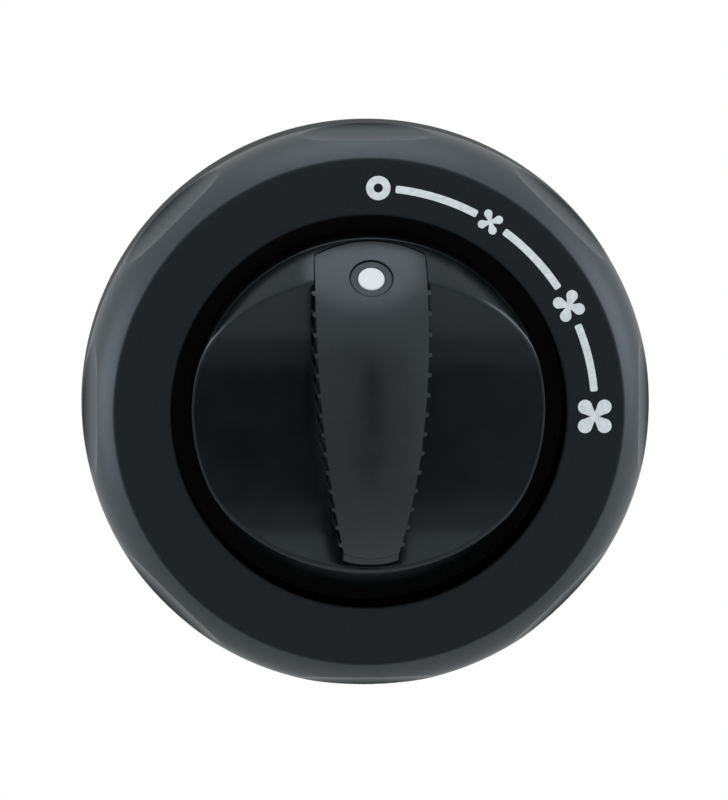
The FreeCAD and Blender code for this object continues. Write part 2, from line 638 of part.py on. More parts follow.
def make_detent_spring():
    """Bent leaf whose nose drops into the notches of the cam."""
    body = new_body("detent_spring")
    inner, outer = "-D.leaf_x", "-D.leaf_x - D.leaf_wall"
    tip, tip_back = "D.nose_in - D.leaf_x", "D.nose_in - D.leaf_x - D.leaf_wall"
    half = [
        (inner, "D.leaf_half"),
        (inner, "D.nose_half + D.nose_in"),
        (tip, "D.nose_half"),
    ]
    back = [
        (outer, "D.leaf_half"),
        (outer, "D.nose_back + D.nose_in"),
        (tip_back, "D.nose_back"),
    ]
    lower = [(x, "-(%s)" % z) for x, z in reversed(half)]
    lower_back = [(x, "-(%s)" % z) for x, z in back]
    slab(body, "leaf", "D.cam_back - D.leaf_in", "D.cam_front + D.leaf_in",
         lambda sketch: add_loop(sketch, half + lower + lower_back + list(reversed(back))))
    return body


# Turning group
def make_rotor():
    """Spindle with detent cam, stop lug, drum, driving posts and rear pin."""
    body = new_body("rotor")
    turned(body, "rotor_turned", [
        ("0", "-D.spindle_front"),
        ("D.spindle_r", "-D.spindle_front"),
        ("D.spindle_r", "D.cam_front"),
        ("D.cam_r", "D.cam_front"),
        ("D.cam_r", "D.cam_back"),
        ("D.drum_r", "D.cam_back"),
        ("D.drum_r", "D.drum_back"),
        ("D.pit_r", "D.drum_back"),
        ("D.pit_r", "D.pit_front"),
        ("D.pin_r", "D.pit_front"),
        ("D.pin_r", "D.pin_back"),
        ("0", "D.pin_back"),
    ])
    slab(body, "stop_lug", "D.cam_back", "D.cam_front",
         lambda sketch: spoke(sketch, "D.stop_clock", "D.cam_r - D.root", "D.stop_r", "-D.stop_half", "D.stop_half"))
    slab(body, "driving_posts", "D.bridge_front + D.bridge_wall", "D.drum_back - D.root",
         lambda sketch: clock_circles(sketch, (0, 180), "D.dog_at", "D.dog_r"))
    cut(body, "spindle_flat", "-D.flat_back", "-D.spindle_front",
        lambda sketch: add_loop(sketch, [
            ("-D.spindle_r", "D.flat_at"),
            ("D.spindle_r", "D.flat_at"),
            ("D.spindle_r", "2 * D.spindle_r"),
            ("-D.spindle_r", "2 * D.spindle_r"),
        ]))

    def notches(sketch):
        floor = "D.leaf_x - D.nose_in - D.notch_slack"
        rim = "D.cam_r + D.cam_gap"
        spread = "D.notch_half + D.cam_r + D.cam_gap - (%s)" % floor
        for count in range(4):
            clock_loop(sketch, "270 - %d * D.step" % count,
                       [(floor, "-D.notch_half"), (rim, "-(%s)" % spread), (rim, spread),
                        (floor, "D.notch_half")])
    cut(body, "detent_notches", "D.cam_back", "D.cam_front", notches)
    return body


def make_thrust_washer():
    """Plain washer in front of the cam."""
    body = new_body("thrust_washer")
    turned(body, "washer_ring", [
        ("D.spindle_r + D.washer_slack", "D.cam_front - D.washer_wall"),
        ("D.washer_r", "D.cam_front - D.washer_wall"),
        ("D.washer_r", "D.cam_front"),
        ("D.spindle_r + D.washer_slack", "D.cam_front"),
    ])
    return body


def make_contact_bridge():
    """Contact ring with one arm that sweeps over the fixed contacts."""
    body = new_body("contact_bridge")
    back = "D.bridge_front + D.bridge_wall"

    def ring(sketch):
        add_circle(sketch, "0", "0", "D.bridge_r")
        add_circle(sketch, "0", "0", "D.pin_r + D.bridge_slack")
        clock_circles(sketch, (0, 180), "D.dog_at", "D.dog_r + D.dog_slack")
    slab(body, "bridge_ring", back, "D.bridge_front", ring)
    slab(body, "bridge_arm", back, "D.bridge_front",
         lambda sketch: spoke(sketch, str(CONTACT_CLOCK), "D.bridge_r - D.root", "D.contact_at + D.arm_half",
                              "-D.arm_half", "D.arm_half"))
    slab(body, "bridge_button", back + " + D.button_h", back,
         lambda sketch: clock_circles(sketch, (CONTACT_CLOCK,), "D.contact_at", "D.button_r"))
    return body


def make_bridge_spring():
    """Cone washer in the drum that presses the bridge to the rear."""
    body = new_body("bridge_spring")
    turned(body, "cone_ring", [
        ("D.cone_out_r", "D.pit_front"),
        ("D.cone_out_r", "D.pit_front + D.cone_wall"),
        ("D.cone_in_r", "D.bridge_front"),
        ("D.cone_in_r", "D.bridge_front - D.cone_wall"),
    ])
    return body


def blade_outline(sketch, grow="0"):
    """Grip outline from the front, widened by a clearance."""
    top, low = "D.blade_top_half + " + grow, "D.blade_low_half + " + grow
    top_z, low_z = "D.blade_top_z + 0.6 * " + grow, "-(D.blade_low_z + 0.6 * %s)" % grow
    side = ("D.blade_side_arc + " + grow, 1)
    add_loop(sketch, [
        (top, top_z, ("D.blade_top_arc + " + grow, 1)),
        ("-(%s)" % top, top_z, side),
        ("-(%s)" % low, low_z, ("D.blade_low_arc + " + grow, 1)),
        (low, low_z, side),
    ])


def make_knob_body():
    """Domed cap with two finger scoops, a slot for the grip and the spindle hub."""
    body = new_body("knob_body")
    inner = "D.knob_r - D.skirt_wall"
    ceiling = "D.knob_wall - D.trough_h"
    turned(body, "knob_dome", [
        ("0", "-D.dome_h", ("D.dome_ball", 1)),
        ("D.knob_r", "-D.dome_foot"),
        ("D.knob_r", "-D.skirt_back"),
        (inner, "-D.skirt_back"),
        (inner, ceiling),
        ("D.tower_r", ceiling),
        ("D.tower_r", "-D.hub_back"),
        ("0", "-D.hub_back"),
    ])
    sketch = new_sketch(body, "trough_outline", "YZ_Plane")
    add_circle(sketch, "-D.trough_h - D.trough_arc", "-D.trough_low", "D.trough_arc")
    trough = body.newObject("PartDesign::Pocket", "trough")
    trough.Profile = sketch
    trough.SideType = "Symmetric"
    trough.setExpression("Length", "3 * D.knob_r")

    def scoop_edge(edge):
        spots = [edge.valueAt(edge.FirstParameter + part * (edge.LastParameter - edge.FirstParameter))
                 for part in (0.2, 0.5, 0.8)]
        reach = [math.hypot(spot.y + value("D.trough_h + D.trough_arc"), spot.z + value("D.trough_low"))
                 for spot in spots]
        return all(abs(size - value("D.trough_arc")) < 0.01 for size in reach)
    soften(body, "scoop_rounding", "D.scoop_soft", scoop_edge)
    cut(body, "grip_slot", "-D.slot_h", "-D.dome_h - 1",
        lambda sketch: blade_outline(sketch, "D.slot_slack"))
    slab(body, "hub_tower", "-D.slot_h + D.root", "-D.tower_h",
         lambda sketch: add_circle(sketch, "0", "0", "D.tower_r"))
    guide_z = "(D.dome_ball - D.guide_bend) * D.pointer_z / D.dome_ball"
    slab(body, "guide_sleeve", "-D.sleeve_back", ceiling + " - D.root",
         lambda sketch: add_circle(sketch, "0", guide_z, "D.guide_r + D.sleeve_wall"))
    cut(body, "guide_hole", "-D.sleeve_back", "-D.slot_h - D.root",
        lambda sketch: add_circle(sketch, "0", guide_z, "D.guide_rod_r + D.guide_slack"))

    def spindle_hole(sketch):
        bore = "D.spindle_r + D.run_slack"
        flat = "D.flat_at + D.clip_wall"
        half = "sqrt((%s) ^ 2 - (%s) ^ 2)" % (bore, flat)
        add_loop(sketch, [
            (half, flat),
            ("-" + half, flat, (bore, 1)),
            ("0", "-(%s)" % bore, (bore, 1)),
        ])
    cut(body, "spindle_hole", "-D.hub_back", "-D.spindle_front - D.part_gap", spindle_hole)
    cut(body, "shoulder_hole", "-D.hub_back", "-D.flat_back",
        lambda sketch: add_circle(sketch, "0", "0", "D.spindle_r + D.run_slack"))
    return body


def make_knob_clip():
    """Spring plate between the flat of the spindle and the hub."""
    body = new_body("knob_clip")

    def plate(sketch):
        add_loop(sketch, [
            ("-D.clip_half", "D.flat_at"),
            ("D.clip_half", "D.flat_at"),
            ("D.clip_half", "D.flat_at + D.clip_wall"),
            ("-D.clip_half", "D.flat_at + D.clip_wall"),
        ])
    slab(body, "clip_plate", "-D.flat_back - D.part_gap", "-D.spindle_front + D.root", plate)
    return body


def tilted_rod(name, radius, start, length):
    """Cylinder along the dome's normal at the pointer, measured inwards from the surface."""
    rod = doc.addObject("Part::Cylinder", name)
    rod.setExpression("Radius", radius)
    rod.setExpression("Height", length)
    rod.Placement = FreeCAD.Placement(FreeCAD.Vector(), FreeCAD.Rotation(FreeCAD.Vector(1, 0, 0), -120))
    rod.setExpression("Placement.Rotation.Angle", "-(90deg + asin(D.pointer_z / D.dome_ball))")
    rod.setExpression("Placement.Base.y", "D.ball_y - (D.dome_ball - (%s)) * D.lean_cos" % start)
    rod.setExpression("Placement.Base.z", "(D.dome_ball - (%s)) * D.pointer_z / D.dome_ball" % start)
    return rod


def straight_rod(name, radius):
    """Cylinder parallel to the axis, from the bend of the light guide to its rear end."""
    rod = doc.addObject("Part::Cylinder", name)
    bend_y = "(D.ball_y - (D.dome_ball - D.guide_bend) * D.lean_cos)"
    rod.setExpression("Radius", radius)
    rod.setExpression("Height", "-(D.glow_front + D.glow_gap) - " + bend_y)
    rod.Placement = FreeCAD.Placement(FreeCAD.Vector(), FreeCAD.Rotation(FreeCAD.Vector(1, 0, 0), -90))
    rod.setExpression("Placement.Base.y", bend_y)
    rod.setExpression("Placement.Base.z", "(D.dome_ball - D.guide_bend) * D.pointer_z / D.dome_ball")
    return rod


def ball_tool(name, radius):
    """Ball about the centre of the dome."""
    ball = doc.addObject("Part::Sphere", name)
    ball.setExpression("Radius", radius)
    ball.setExpression("Placement.Base.y", "D.ball_y")
    return ball


def joined(kind, name, pieces):
    """Boolean of several objects."""
    result = doc.addObject(kind, name)
    result.Shapes = pieces
    return result


def make_light_guide():
    """Bent clear rod whose front end is the pointer dot."""
    head = tilted_rod("guide_head", "D.guide_r", "D.well_deep - D.dot_out", "D.guide_bend + D.guide_r")
    guide = joined("Part::MultiFuse", "pointer_light_guide", [head, straight_rod("guide_rod", "D.guide_rod_r")])
    guide.Label = "pointer_light_guide"
    return guide


def make_knob_grip():
    """Hollow blade with grip ribs on both sides and a round well for the pointer."""
    blade = new_body("blade_stock")
    slab(blade, "blade_block", "-D.slot_h", "-D.dome_h - 1", blade_outline)
    cut(blade, "blade_cavity", "-D.slot_h", "-D.blade_roof",
        lambda sketch: add_loop(sketch, [
            ("D.blade_top_half - D.blade_skin", "D.blade_hollow"),
            ("D.blade_skin - D.blade_top_half", "D.blade_hollow"),
            ("D.blade_skin / 2 - D.blade_low_half", "-D.blade_hollow"),
            ("D.blade_low_half - D.blade_skin / 2", "-D.blade_hollow"),
        ]))
    cut(blade, "blade_hub_space", "-D.slot_h", "-D.blade_roof",
        lambda sketch: add_circle(sketch, "0", "0", "D.tower_r + D.hole_slack"))
    ribs = new_body("rib_stock")

    def rib_circles(sketch):
        for count in range(RIBS):
            z = "D.rib_top - %d * D.rib_pitch" % count
            x = "D.side_x + sqrt(D.blade_side_arc ^ 2 - (%s - D.side_z) ^ 2) + D.rib_out" % z
            add_circle(sketch, x, z, "D.rib_r")
            add_circle(sketch, "-(%s)" % x, z, "D.rib_r")
    slab(ribs, "rib_rods", "-D.slot_h", "-D.dome_h - 1", rib_circles)
    lip = new_body("lip_stock")
    lip_z = "-(D.blade_low_z + D.lip_out)"
    slab(lip, "lip_block", "-D.slot_h", "-D.dome_h - 1",
         lambda sketch: add_loop(sketch, [
             ("-D.blade_low_half", lip_z, ("D.blade_low_arc + D.lip_out", 1)),
             ("D.blade_low_half", lip_z),
             ("D.blade_low_half", "-D.blade_low_z"),
             ("-D.blade_low_half", "-D.blade_low_z"),
         ]))
    ball = ball_tool("dome_tool", "D.dome_ball")
    lip_ball = ball_tool("lip_tool", "D.dome_ball - D.lip_drop")
    scoop = doc.addObject("Part::Cylinder", "scoop_tool")
    scoop.setExpression("Radius", "D.trough_arc")
    scoop.setExpression("Height", "3 * D.knob_r")
    scoop.Placement = FreeCAD.Placement(FreeCAD.Vector(), FreeCAD.Rotation(FreeCAD.Vector(0, 1, 0), 90))
    scoop.setExpression("Placement.Base.x", "-1.5 * D.knob_r")
    scoop.setExpression("Placement.Base.y", "-D.trough_h - D.trough_arc")
    scoop.setExpression("Placement.Base.z", "-D.trough_low")
    domed_blade = joined("Part::MultiCommon", "domed_blade", [blade, ball])
    domed_ribs = joined("Part::MultiCommon", "domed_ribs", [ribs, ball, scoop])
    domed_lip = joined("Part::MultiCommon", "domed_lip", [lip, lip_ball, scoop])
    stock = joined("Part::MultiFuse", "grip_stock", [domed_blade, domed_ribs, domed_lip])
    space = "D.guide_r + D.guide_slack"
    tools = joined("Part::MultiFuse", "grip_tools", [
        tilted_rod("well_tool", "D.well_r", "-D.well_r", "D.well_deep + D.well_r"),
        tilted_rod("guide_head_tool", space, "0", "D.guide_bend + D.guide_r + D.root"),
        straight_rod("guide_rod_tool", "D.guide_rod_r + D.guide_slack"),
    ])
    grip = doc.addObject("Part::Cut", "knob_grip")
    grip.Label = "knob_grip"
    grip.Base = stock
    grip.Tool = tools
    return grip


# Build, check and write
low, medium, high = contact_clocks()
nodes = [
    make_bezel(),
    make_housing(),
    make_screws("housing_screws", HOUSING_SCREWS, "D.ear_at", "-D.plate_back", "-D.plate_front - D.ear_screw_in"),
    make_terminal_base(),
    make_screws("base_screws", BASE_SCREWS, "D.base_screw_at", "D.base_back", "D.cup_back - D.base_screw_in"),
    make_terminal("terminal_supply", "D.supply_at", str(SUPPLY_CLOCK)),
    make_terminal("terminal_low", "D.contact_at", low),
    make_terminal("terminal_medium", "D.contact_at", medium),
    make_terminal("terminal_high", "D.contact_at", high),
    make_terminal_lamp(),
    make_lamp_holder(),
    make_lamp(),
    make_light_ring(),
    make_detent_spring(),
    make_rotor(),
    make_thrust_washer(),
    make_contact_bridge(),
    make_bridge_spring(),
    make_knob_body(),
    make_knob_clip(),
    make_light_guide(),
    make_knob_grip(),
]
doc.recompute()
for item in doc.Objects:
    if any(word in item.State for word in ("Invalid", "Error")):
        raise RuntimeError("%s: %s" % (item.Label, item.State))
os.makedirs("parts", exist_ok=True)
for node in nodes:
    shape = node.Shape
    if shape.isNull() or not shape.isValid() or not shape.Solids:
        raise RuntimeError("bad shape: " + node.Label)
    shape.exportStep("parts/%s.step" % node.Label)
    print("%-20s solids %d volume %.1f" % (node.Label, len(shape.Solids), shape.Volume))
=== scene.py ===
# %% [markdown]
# A fan speed switch for a dashboard or cab panel, seen from the front: a scalloped black bezel with a
# printed dial, and a domed knob with a ribbed grip blade and a white pointer dot.
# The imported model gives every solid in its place. The smooth front mouldings are remodelled here with
# fine meshes, and the solids at the back and inside keep their own meshes and get finishes.

# %% Load the frame
import json
import math
import bpy
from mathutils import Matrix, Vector


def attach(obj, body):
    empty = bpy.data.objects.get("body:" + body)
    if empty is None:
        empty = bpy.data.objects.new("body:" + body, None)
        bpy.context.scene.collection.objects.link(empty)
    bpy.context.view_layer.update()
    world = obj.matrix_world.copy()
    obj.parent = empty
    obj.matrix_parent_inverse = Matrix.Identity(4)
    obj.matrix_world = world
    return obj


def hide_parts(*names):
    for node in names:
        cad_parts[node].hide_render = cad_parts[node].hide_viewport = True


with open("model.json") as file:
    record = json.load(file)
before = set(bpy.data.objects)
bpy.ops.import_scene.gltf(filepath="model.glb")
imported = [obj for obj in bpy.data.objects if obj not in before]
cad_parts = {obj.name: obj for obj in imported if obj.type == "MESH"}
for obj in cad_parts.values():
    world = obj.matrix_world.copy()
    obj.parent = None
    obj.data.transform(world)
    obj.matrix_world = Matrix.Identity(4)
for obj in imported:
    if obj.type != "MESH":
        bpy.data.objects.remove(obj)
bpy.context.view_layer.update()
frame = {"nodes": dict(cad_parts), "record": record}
nodes = frame["nodes"]
MM = 0.001

# %% [markdown]
# Modelling by hand starts from a primitive. These helpers cover the steps that repeat. The first ones draw:
# an outline is one vertex that is extruded from corner to corner, and a section is an outline that is turned
# about the switch's axis. Arcs are the only curves on these mouldings. Sizes are in millimetres.

# %% Helpers for drawing and turning
MERGE = 0.002


def clear_selection():
    if bpy.context.object and bpy.context.object.mode != "OBJECT":
        bpy.ops.object.mode_set(mode="OBJECT")
    bpy.ops.object.select_all(action="DESELECT")


def arc(centre, radius, start, end, steps):
    angles = [math.radians(start + (end - start) * step / steps) for step in range(steps + 1)]
    return [(centre[0] + radius * math.cos(a), centre[1] + radius * math.sin(a)) for a in angles]


def line(start, end, steps):
    run, rise = end[0] - start[0], end[1] - start[1]
    return [(start[0] + run * step / steps, start[1] + rise * step / steps) for step in range(steps + 1)]


def trace(name, points):
    clear_selection()
    bpy.ops.mesh.primitive_plane_add(size=MM, location=(0, 0, 0))
    piece = bpy.context.object
    piece.name = name
    piece.data.name = name
    bpy.ops.object.mode_set(mode="EDIT")
    bpy.ops.mesh.select_all(action="SELECT")
    bpy.ops.mesh.merge(type="CENTER")
    spots = [Vector(point) * MM for point in points]
    bpy.ops.transform.translate(value=spots[0])
    for here, there in zip(spots, spots[1:]):
        bpy.ops.mesh.extrude_region_move(TRANSFORM_OT_translate={"value": there - here})
    return piece


def turn(name, profile, steps):
    piece = trace(name, [(radius, y, 0) for radius, y in profile])
    bpy.ops.mesh.select_all(action="SELECT")
    bpy.ops.mesh.spin(steps=steps, angle=2 * math.pi, center=(0, 0, 0), axis=(0, 1, 0))
    bpy.ops.mesh.select_all(action="SELECT")
    bpy.ops.mesh.remove_doubles(threshold=MERGE * MM)
    bpy.ops.mesh.normals_make_consistent(inside=False)
    bpy.ops.object.mode_set(mode="OBJECT")
    return piece


print("points closer than", MERGE, "mm are merged")

# %% [markdown]
# The other helpers work on whole pieces: apply a modifier, cut one piece with another, smooth the shading,
# place a round rod between two points, and join pieces into one.

# %% Helpers for whole pieces
def make_active(piece):
    clear_selection()
    piece.select_set(True)
    bpy.context.view_layer.objects.active = piece


def apply_modifier(piece, kind, **settings):
    make_active(piece)
    modifier = piece.modifiers.new(kind.lower(), kind)
    for key, setting in settings.items():
        setattr(modifier, key, setting)
    bpy.ops.object.modifier_apply(modifier=modifier.name)


def carve(piece, tool, operation="DIFFERENCE"):
    apply_modifier(piece, "BOOLEAN", operation=operation, object=tool, solver="EXACT")
    bpy.data.objects.remove(tool)


def smooth(piece, angle=30):
    make_active(piece)
    bpy.ops.object.shade_smooth_by_angle(angle=math.radians(angle))


def rod(name, radius, start, end, sides):
    start, end = Vector(start) * MM, Vector(end) * MM
    clear_selection()
    bpy.ops.mesh.primitive_cylinder_add(vertices=sides, radius=radius * MM, depth=(end - start).length,
                                        location=(start + end) / 2,
                                        rotation=(end - start).to_track_quat("Z", "Y").to_euler())
    piece = bpy.context.object
    piece.name = name
    piece.data.name = name
    bpy.ops.object.transform_apply(location=True, rotation=True, scale=True)
    return piece


def join(pieces, name):
    clear_selection()
    for piece in pieces:
        piece.select_set(True)
    bpy.context.view_layer.objects.active = pieces[0]
    bpy.ops.object.join()
    pieces[0].name = name
    return pieces[0]


def group_points(piece, name, belongs):
    group = piece.vertex_groups.new(name=name)
    chosen = [vertex.index for vertex in piece.data.vertices if belongs(vertex.co)]
    group.add(chosen, 1.0, "REPLACE")
    print(name, len(chosen), "points")


print("helpers ready")

# %% [markdown]
# The bezel is one moulding. Its section is a flat face, a convex rim and a straight band, with a hollow
# back, so it is drawn as a section and turned. The rings lie close together on the rim, where the scallops
# will need them.

# %% Bezel section
BEZEL_R = 32.0
FACE_Y = -10.5
BAND_Y = -4.5
RIM_ARC = 7.0
EDGE_SOFT = 0.8
FOOT_SOFT = 0.3
OPENING_R = 22.2
OPENING_SOFT = 0.4
OPENING_BACK_Y = -4.0
WALL_R = 24.0
POCKET_R = 27.9
POCKET_Y = -8.3
INNER_R = 30.0
CHAMFER = 0.2
CORNER = 0.1
ARC_GAP = 1.2
FACE_GAP = 0.3
BAND_FINE_FROM = 0.12
BAND_FINE_TO = 1.2
BEZEL_STEPS = 720
rim_centre = (BEZEL_R - RIM_ARC, BAND_Y)
soft_y = FACE_Y + EDGE_SOFT
soft_r = rim_centre[0] + math.sqrt((RIM_ARC - EDGE_SOFT) ** 2 - (soft_y - BAND_Y) ** 2)
soft_lean = math.degrees(math.atan2(BAND_Y - soft_y, soft_r - rim_centre[0]))
opening_y = FACE_Y + OPENING_SOFT
bezel_section = line((OPENING_R, OPENING_BACK_Y), (OPENING_R, opening_y), 6)
bezel_section += arc((OPENING_R + OPENING_SOFT, opening_y), OPENING_SOFT, 180, 270, 6)
bezel_section += line((OPENING_R + 2 * OPENING_SOFT, FACE_Y), (soft_r - FACE_GAP, FACE_Y), 8)
bezel_section += arc((soft_r, soft_y), EDGE_SOFT, 270, 360 - soft_lean, 8)
bezel_section += arc(rim_centre, RIM_ARC, -soft_lean + ARC_GAP, 0, 46)
bezel_section += line((BEZEL_R, BAND_Y + BAND_FINE_FROM), (BEZEL_R, BAND_Y + BAND_FINE_TO), 9)
bezel_section += [(BEZEL_R, BAND_Y / 3), (BEZEL_R, -FOOT_SOFT)]
bezel_section += arc((BEZEL_R - FOOT_SOFT, -FOOT_SOFT), FOOT_SOFT, 15, 90, 4)
bezel_section += [(INNER_R + CHAMFER, 0), (INNER_R, -CHAMFER), (INNER_R, BAND_Y)]
bezel_section += [(POCKET_R, POCKET_Y), (WALL_R + CORNER, POCKET_Y), (WALL_R, POCKET_Y + CORNER)]
bezel_section += [(WALL_R, OPENING_BACK_Y), (OPENING_R, OPENING_BACK_Y)]
bezel = turn("bezel_moulding", bezel_section, BEZEL_STEPS)
print("bezel", len(bezel.data.polygons), "faces")

# %% [markdown]
# The eight scallops are straight shallow bites in the rim. A boolean would leave slivers along their long
# flat edges, so the fine turned mesh is wrapped onto eight cylinders instead: only the points that lie
# inside a cylinder move, and the edge stays slightly soft.

# %% Scallops in the rim
SCALLOPS = 8
SCALLOP_R = 7.0
SCALLOP_AT = 37.5
SCALLOP_Y = FACE_Y + 1.87
ROLLER_HALF = 12
ROLLER_SIDES = 900
scallop_clocks = [2 * math.pi * count / SCALLOPS for count in range(SCALLOPS)]


def scallop_roller(clock):
    across = Vector((math.cos(clock), 0, -math.sin(clock))) * ROLLER_HALF
    middle = Vector((math.sin(clock), 0, math.cos(clock))) * SCALLOP_AT + Vector((0, SCALLOP_Y, 0))
    return rod("scallop_roller", SCALLOP_R, middle - across, middle + across, ROLLER_SIDES)


def inside_scallop(spot, clock):
    depth = spot.x * math.sin(clock) + spot.z * math.cos(clock) - SCALLOP_AT * MM
    return math.hypot(depth, spot.y - SCALLOP_Y * MM) < SCALLOP_R * MM


rollers = join([scallop_roller(clock) for clock in scallop_clocks], "scallop_rollers")
group_points(bezel, "bitten", lambda spot: any(inside_scallop(spot, clock) for clock in scallop_clocks))
apply_modifier(bezel, "SHRINKWRAP", target=rollers, wrap_method="NEAREST_SURFACEPOINT", vertex_group="bitten")
bpy.data.objects.remove(rollers)
bezel.vertex_groups.clear()
smooth(bezel, 35)
print("scallops", SCALLOPS)

# %% [markdown]
# In the hollow back stand six screw bosses. Three reach back to the panel for the screws that hold the
# bezel, and three shorter ones take the screws of the switch housing. Each is a tube, a rod drilled from
# behind, whose front end stands in the moulding's wall, so the tubes are only joined to the bezel.

# %% Screw bosses in the hollow back
BOSS_R = 2.7
BOSS_FRONT_Y = -8.9
DRILL_DEEP = 7
DRILL_OUT = 1
PANEL_SCREW_AT, PANEL_HOLE_R, PANEL_BACK_Y = 27.0, 1.25, 0
EAR_SCREW_AT, EAR_HOLE_R, EAR_BACK_Y = 26.0, 1.05, -4.0


def boss(clock, at, hole, back):
    angle = math.radians(clock)
    x, z = math.sin(angle) * at, math.cos(angle) * at
    tube = rod("boss", BOSS_R, (x, BOSS_FRONT_Y, z), (x, back, z), 48)
    drill = rod("drill", hole, (x, back - DRILL_DEEP, z), (x, back + DRILL_OUT, z), 32)
    carve(tube, drill)
    smooth(tube)
    return tube


bosses = [boss(clock, PANEL_SCREW_AT, PANEL_HOLE_R, PANEL_BACK_Y) for clock in (0, 120, 240)]
bosses += [boss(clock, EAR_SCREW_AT, EAR_HOLE_R, EAR_BACK_Y) for clock in (60, 180, 300)]
bezel = join([bezel] + bosses, "bezel_moulding")
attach(bezel, "base")
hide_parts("bezel")
print("bosses", len(bosses))

# %% [markdown]
# The knob cap is a dome of revolution with a skirt that disappears into the bezel, and a hub behind for the
# spindle. It is drawn as a section, with closely spaced rings on the dome, and turned.

# %% Knob cap section
CREST_Y = -21.2
BALL_R = 24.0
BALL_Y = CREST_Y + BALL_R
KNOB_R = 20.0
DOME_INSET = 0.25
EDGE_INSET, EDGE_DROP = 0.1, 0.14
SKIRT_DROP = 0.4
SKIRT_Y = -5.5
SKIRT_SOFT = 0.2
SKIRT_FINE_Y = -8.6
SKIRT_PLAIN_Y = -8.0
SKIRT_IN_R = 18.0
ROOF_Y = -7.5
HUB_R, HUB_Y, BORE_R = 4.2, -5.0, 3.05
KNOB_STEPS = 480
dome_lean = math.degrees(math.asin((KNOB_R - DOME_INSET) / BALL_R))
dome_foot_y = BALL_Y - BALL_R * math.cos(math.radians(dome_lean))
knob_section = arc((0, BALL_Y), BALL_R, -90, -90 + dome_lean, 150)
knob_section += [(KNOB_R - EDGE_INSET, dome_foot_y + EDGE_DROP)]
knob_section += line((KNOB_R, dome_foot_y + SKIRT_DROP), (KNOB_R, SKIRT_FINE_Y), 12)
knob_section += [(KNOB_R, SKIRT_PLAIN_Y), (KNOB_R, SKIRT_Y - SKIRT_SOFT), (KNOB_R - SKIRT_SOFT, SKIRT_Y)]
knob_section += [(SKIRT_IN_R + CORNER, SKIRT_Y), (SKIRT_IN_R, SKIRT_Y - CORNER)]
knob_section += [(SKIRT_IN_R, ROOF_Y + CORNER), (SKIRT_IN_R - CORNER, ROOF_Y), (HUB_R, ROOF_Y)]
knob_section += [(HUB_R, HUB_Y), (BORE_R, HUB_Y), (BORE_R, ROOF_Y), (0, ROOF_Y)]
knob_cap = turn("knob_cap", knob_section, KNOB_STEPS)
print("knob cap", len(knob_cap.data.polygons), "faces")

# %% [markdown]
# One long trough, as if a roller had been pressed across the dome from side to side, makes the two finger
# scoops and leaves a crescent above and below. The points in front of the roller's surface are moved
# straight back onto it. The border of the scoops is rounded on the real moulding, so the points along it
# are put in a group and smoothed. Points that fell together are merged before that.

# %% Finger scoops
TROUGH_R = 31.0
TROUGH_Y = -9.5
TROUGH_Z = -1.75
TROUGH_HALF = 40
TROUGH_SIDES = 4000
SCOOP_MERGE = 0.01
SHAPED_Y = -8.2
BORDER = 0.4
SKIRT_BORDER = 0.55
SKIRT_BELOW = 0.5
trough_axis_y = TROUGH_Y - TROUGH_R


def above_trough(spot):
    reach = math.hypot(spot.y - trough_axis_y * MM, spot.z - TROUGH_Z * MM)
    return TROUGH_R - reach / MM


def scoop_depth(spot):
    dome_y = BALL_Y * MM - math.sqrt((BALL_R * MM) ** 2 - spot.x ** 2 - spot.z ** 2)
    return above_trough(Vector((spot.x, dome_y, spot.z)))


def near_border(spot):
    on_skirt = math.hypot(spot.x, spot.z) > (KNOB_R - SKIRT_BORDER) * MM and above_trough(spot) > -SKIRT_BELOW
    return on_skirt or abs(scoop_depth(spot)) < BORDER


trough = rod("trough_roller", TROUGH_R, (-TROUGH_HALF, trough_axis_y, TROUGH_Z),
             (TROUGH_HALF, trough_axis_y, TROUGH_Z), TROUGH_SIDES)
group_points(knob_cap, "scooped", lambda spot: spot.y < SHAPED_Y * MM and above_trough(spot) > 0)
apply_modifier(knob_cap, "SHRINKWRAP", target=trough, wrap_method="PROJECT", use_project_y=True,
               use_positive_direction=True, vertex_group="scooped")
bpy.data.objects.remove(trough)
bpy.ops.object.mode_set(mode="EDIT")
bpy.ops.mesh.select_all(action="SELECT")
bpy.ops.mesh.remove_doubles(threshold=SCOOP_MERGE * MM)
bpy.ops.object.mode_set(mode="OBJECT")
group_points(knob_cap, "border", lambda spot: spot.y < SHAPED_Y * MM and near_border(spot))
apply_modifier(knob_cap, "SMOOTH", factor=0.5, iterations=20, vertex_group="border")
knob_cap.vertex_groups.clear()
print("scooped cap", len(knob_cap.data.polygons), "faces")

# %% [markdown]
# The grip blade is seen from the front as a long tapered tongue: a shallow arc at its top, slightly
# bulging sides and a small round lower end. The sides carry a row of small half round ribs, which are part
# of the outline, so each rib adds a few closely spaced heights to it.

# %% Outline of the grip blade
TOP_HALF, TOP_Z, TOP_ARC = 6.2, 17.95, 13.5
LOW_HALF, LOW_Z, LOW_ARC = 3.1, -15.25, 7.2
SIDE_ARC = 125.0
RIBS = 14
RIB_R = 0.25
RIB_OUT = 0.15
RIB_TOP, RIB_LOW = 14.2, -14.2
RIB_CLEAR = 1.1
RIB_PARTS = (-1.01, -0.99, -0.9, -0.7, -0.4, 0, 0.4, 0.7, 0.9, 0.99, 1.01)
side_run, side_rise = TOP_HALF - LOW_HALF, TOP_Z - LOW_Z
side_chord = math.hypot(side_run, side_rise)
side_depth = math.sqrt(SIDE_ARC ** 2 - side_chord ** 2 / 4)
side_x = (TOP_HALF + LOW_HALF) / 2 - side_depth * side_rise / side_chord
side_z = (TOP_Z + LOW_Z) / 2 + side_depth * side_run / side_chord
top_centre = TOP_Z - math.sqrt(TOP_ARC ** 2 - TOP_HALF ** 2)
low_centre = LOW_Z + math.sqrt(LOW_ARC ** 2 - LOW_HALF ** 2)
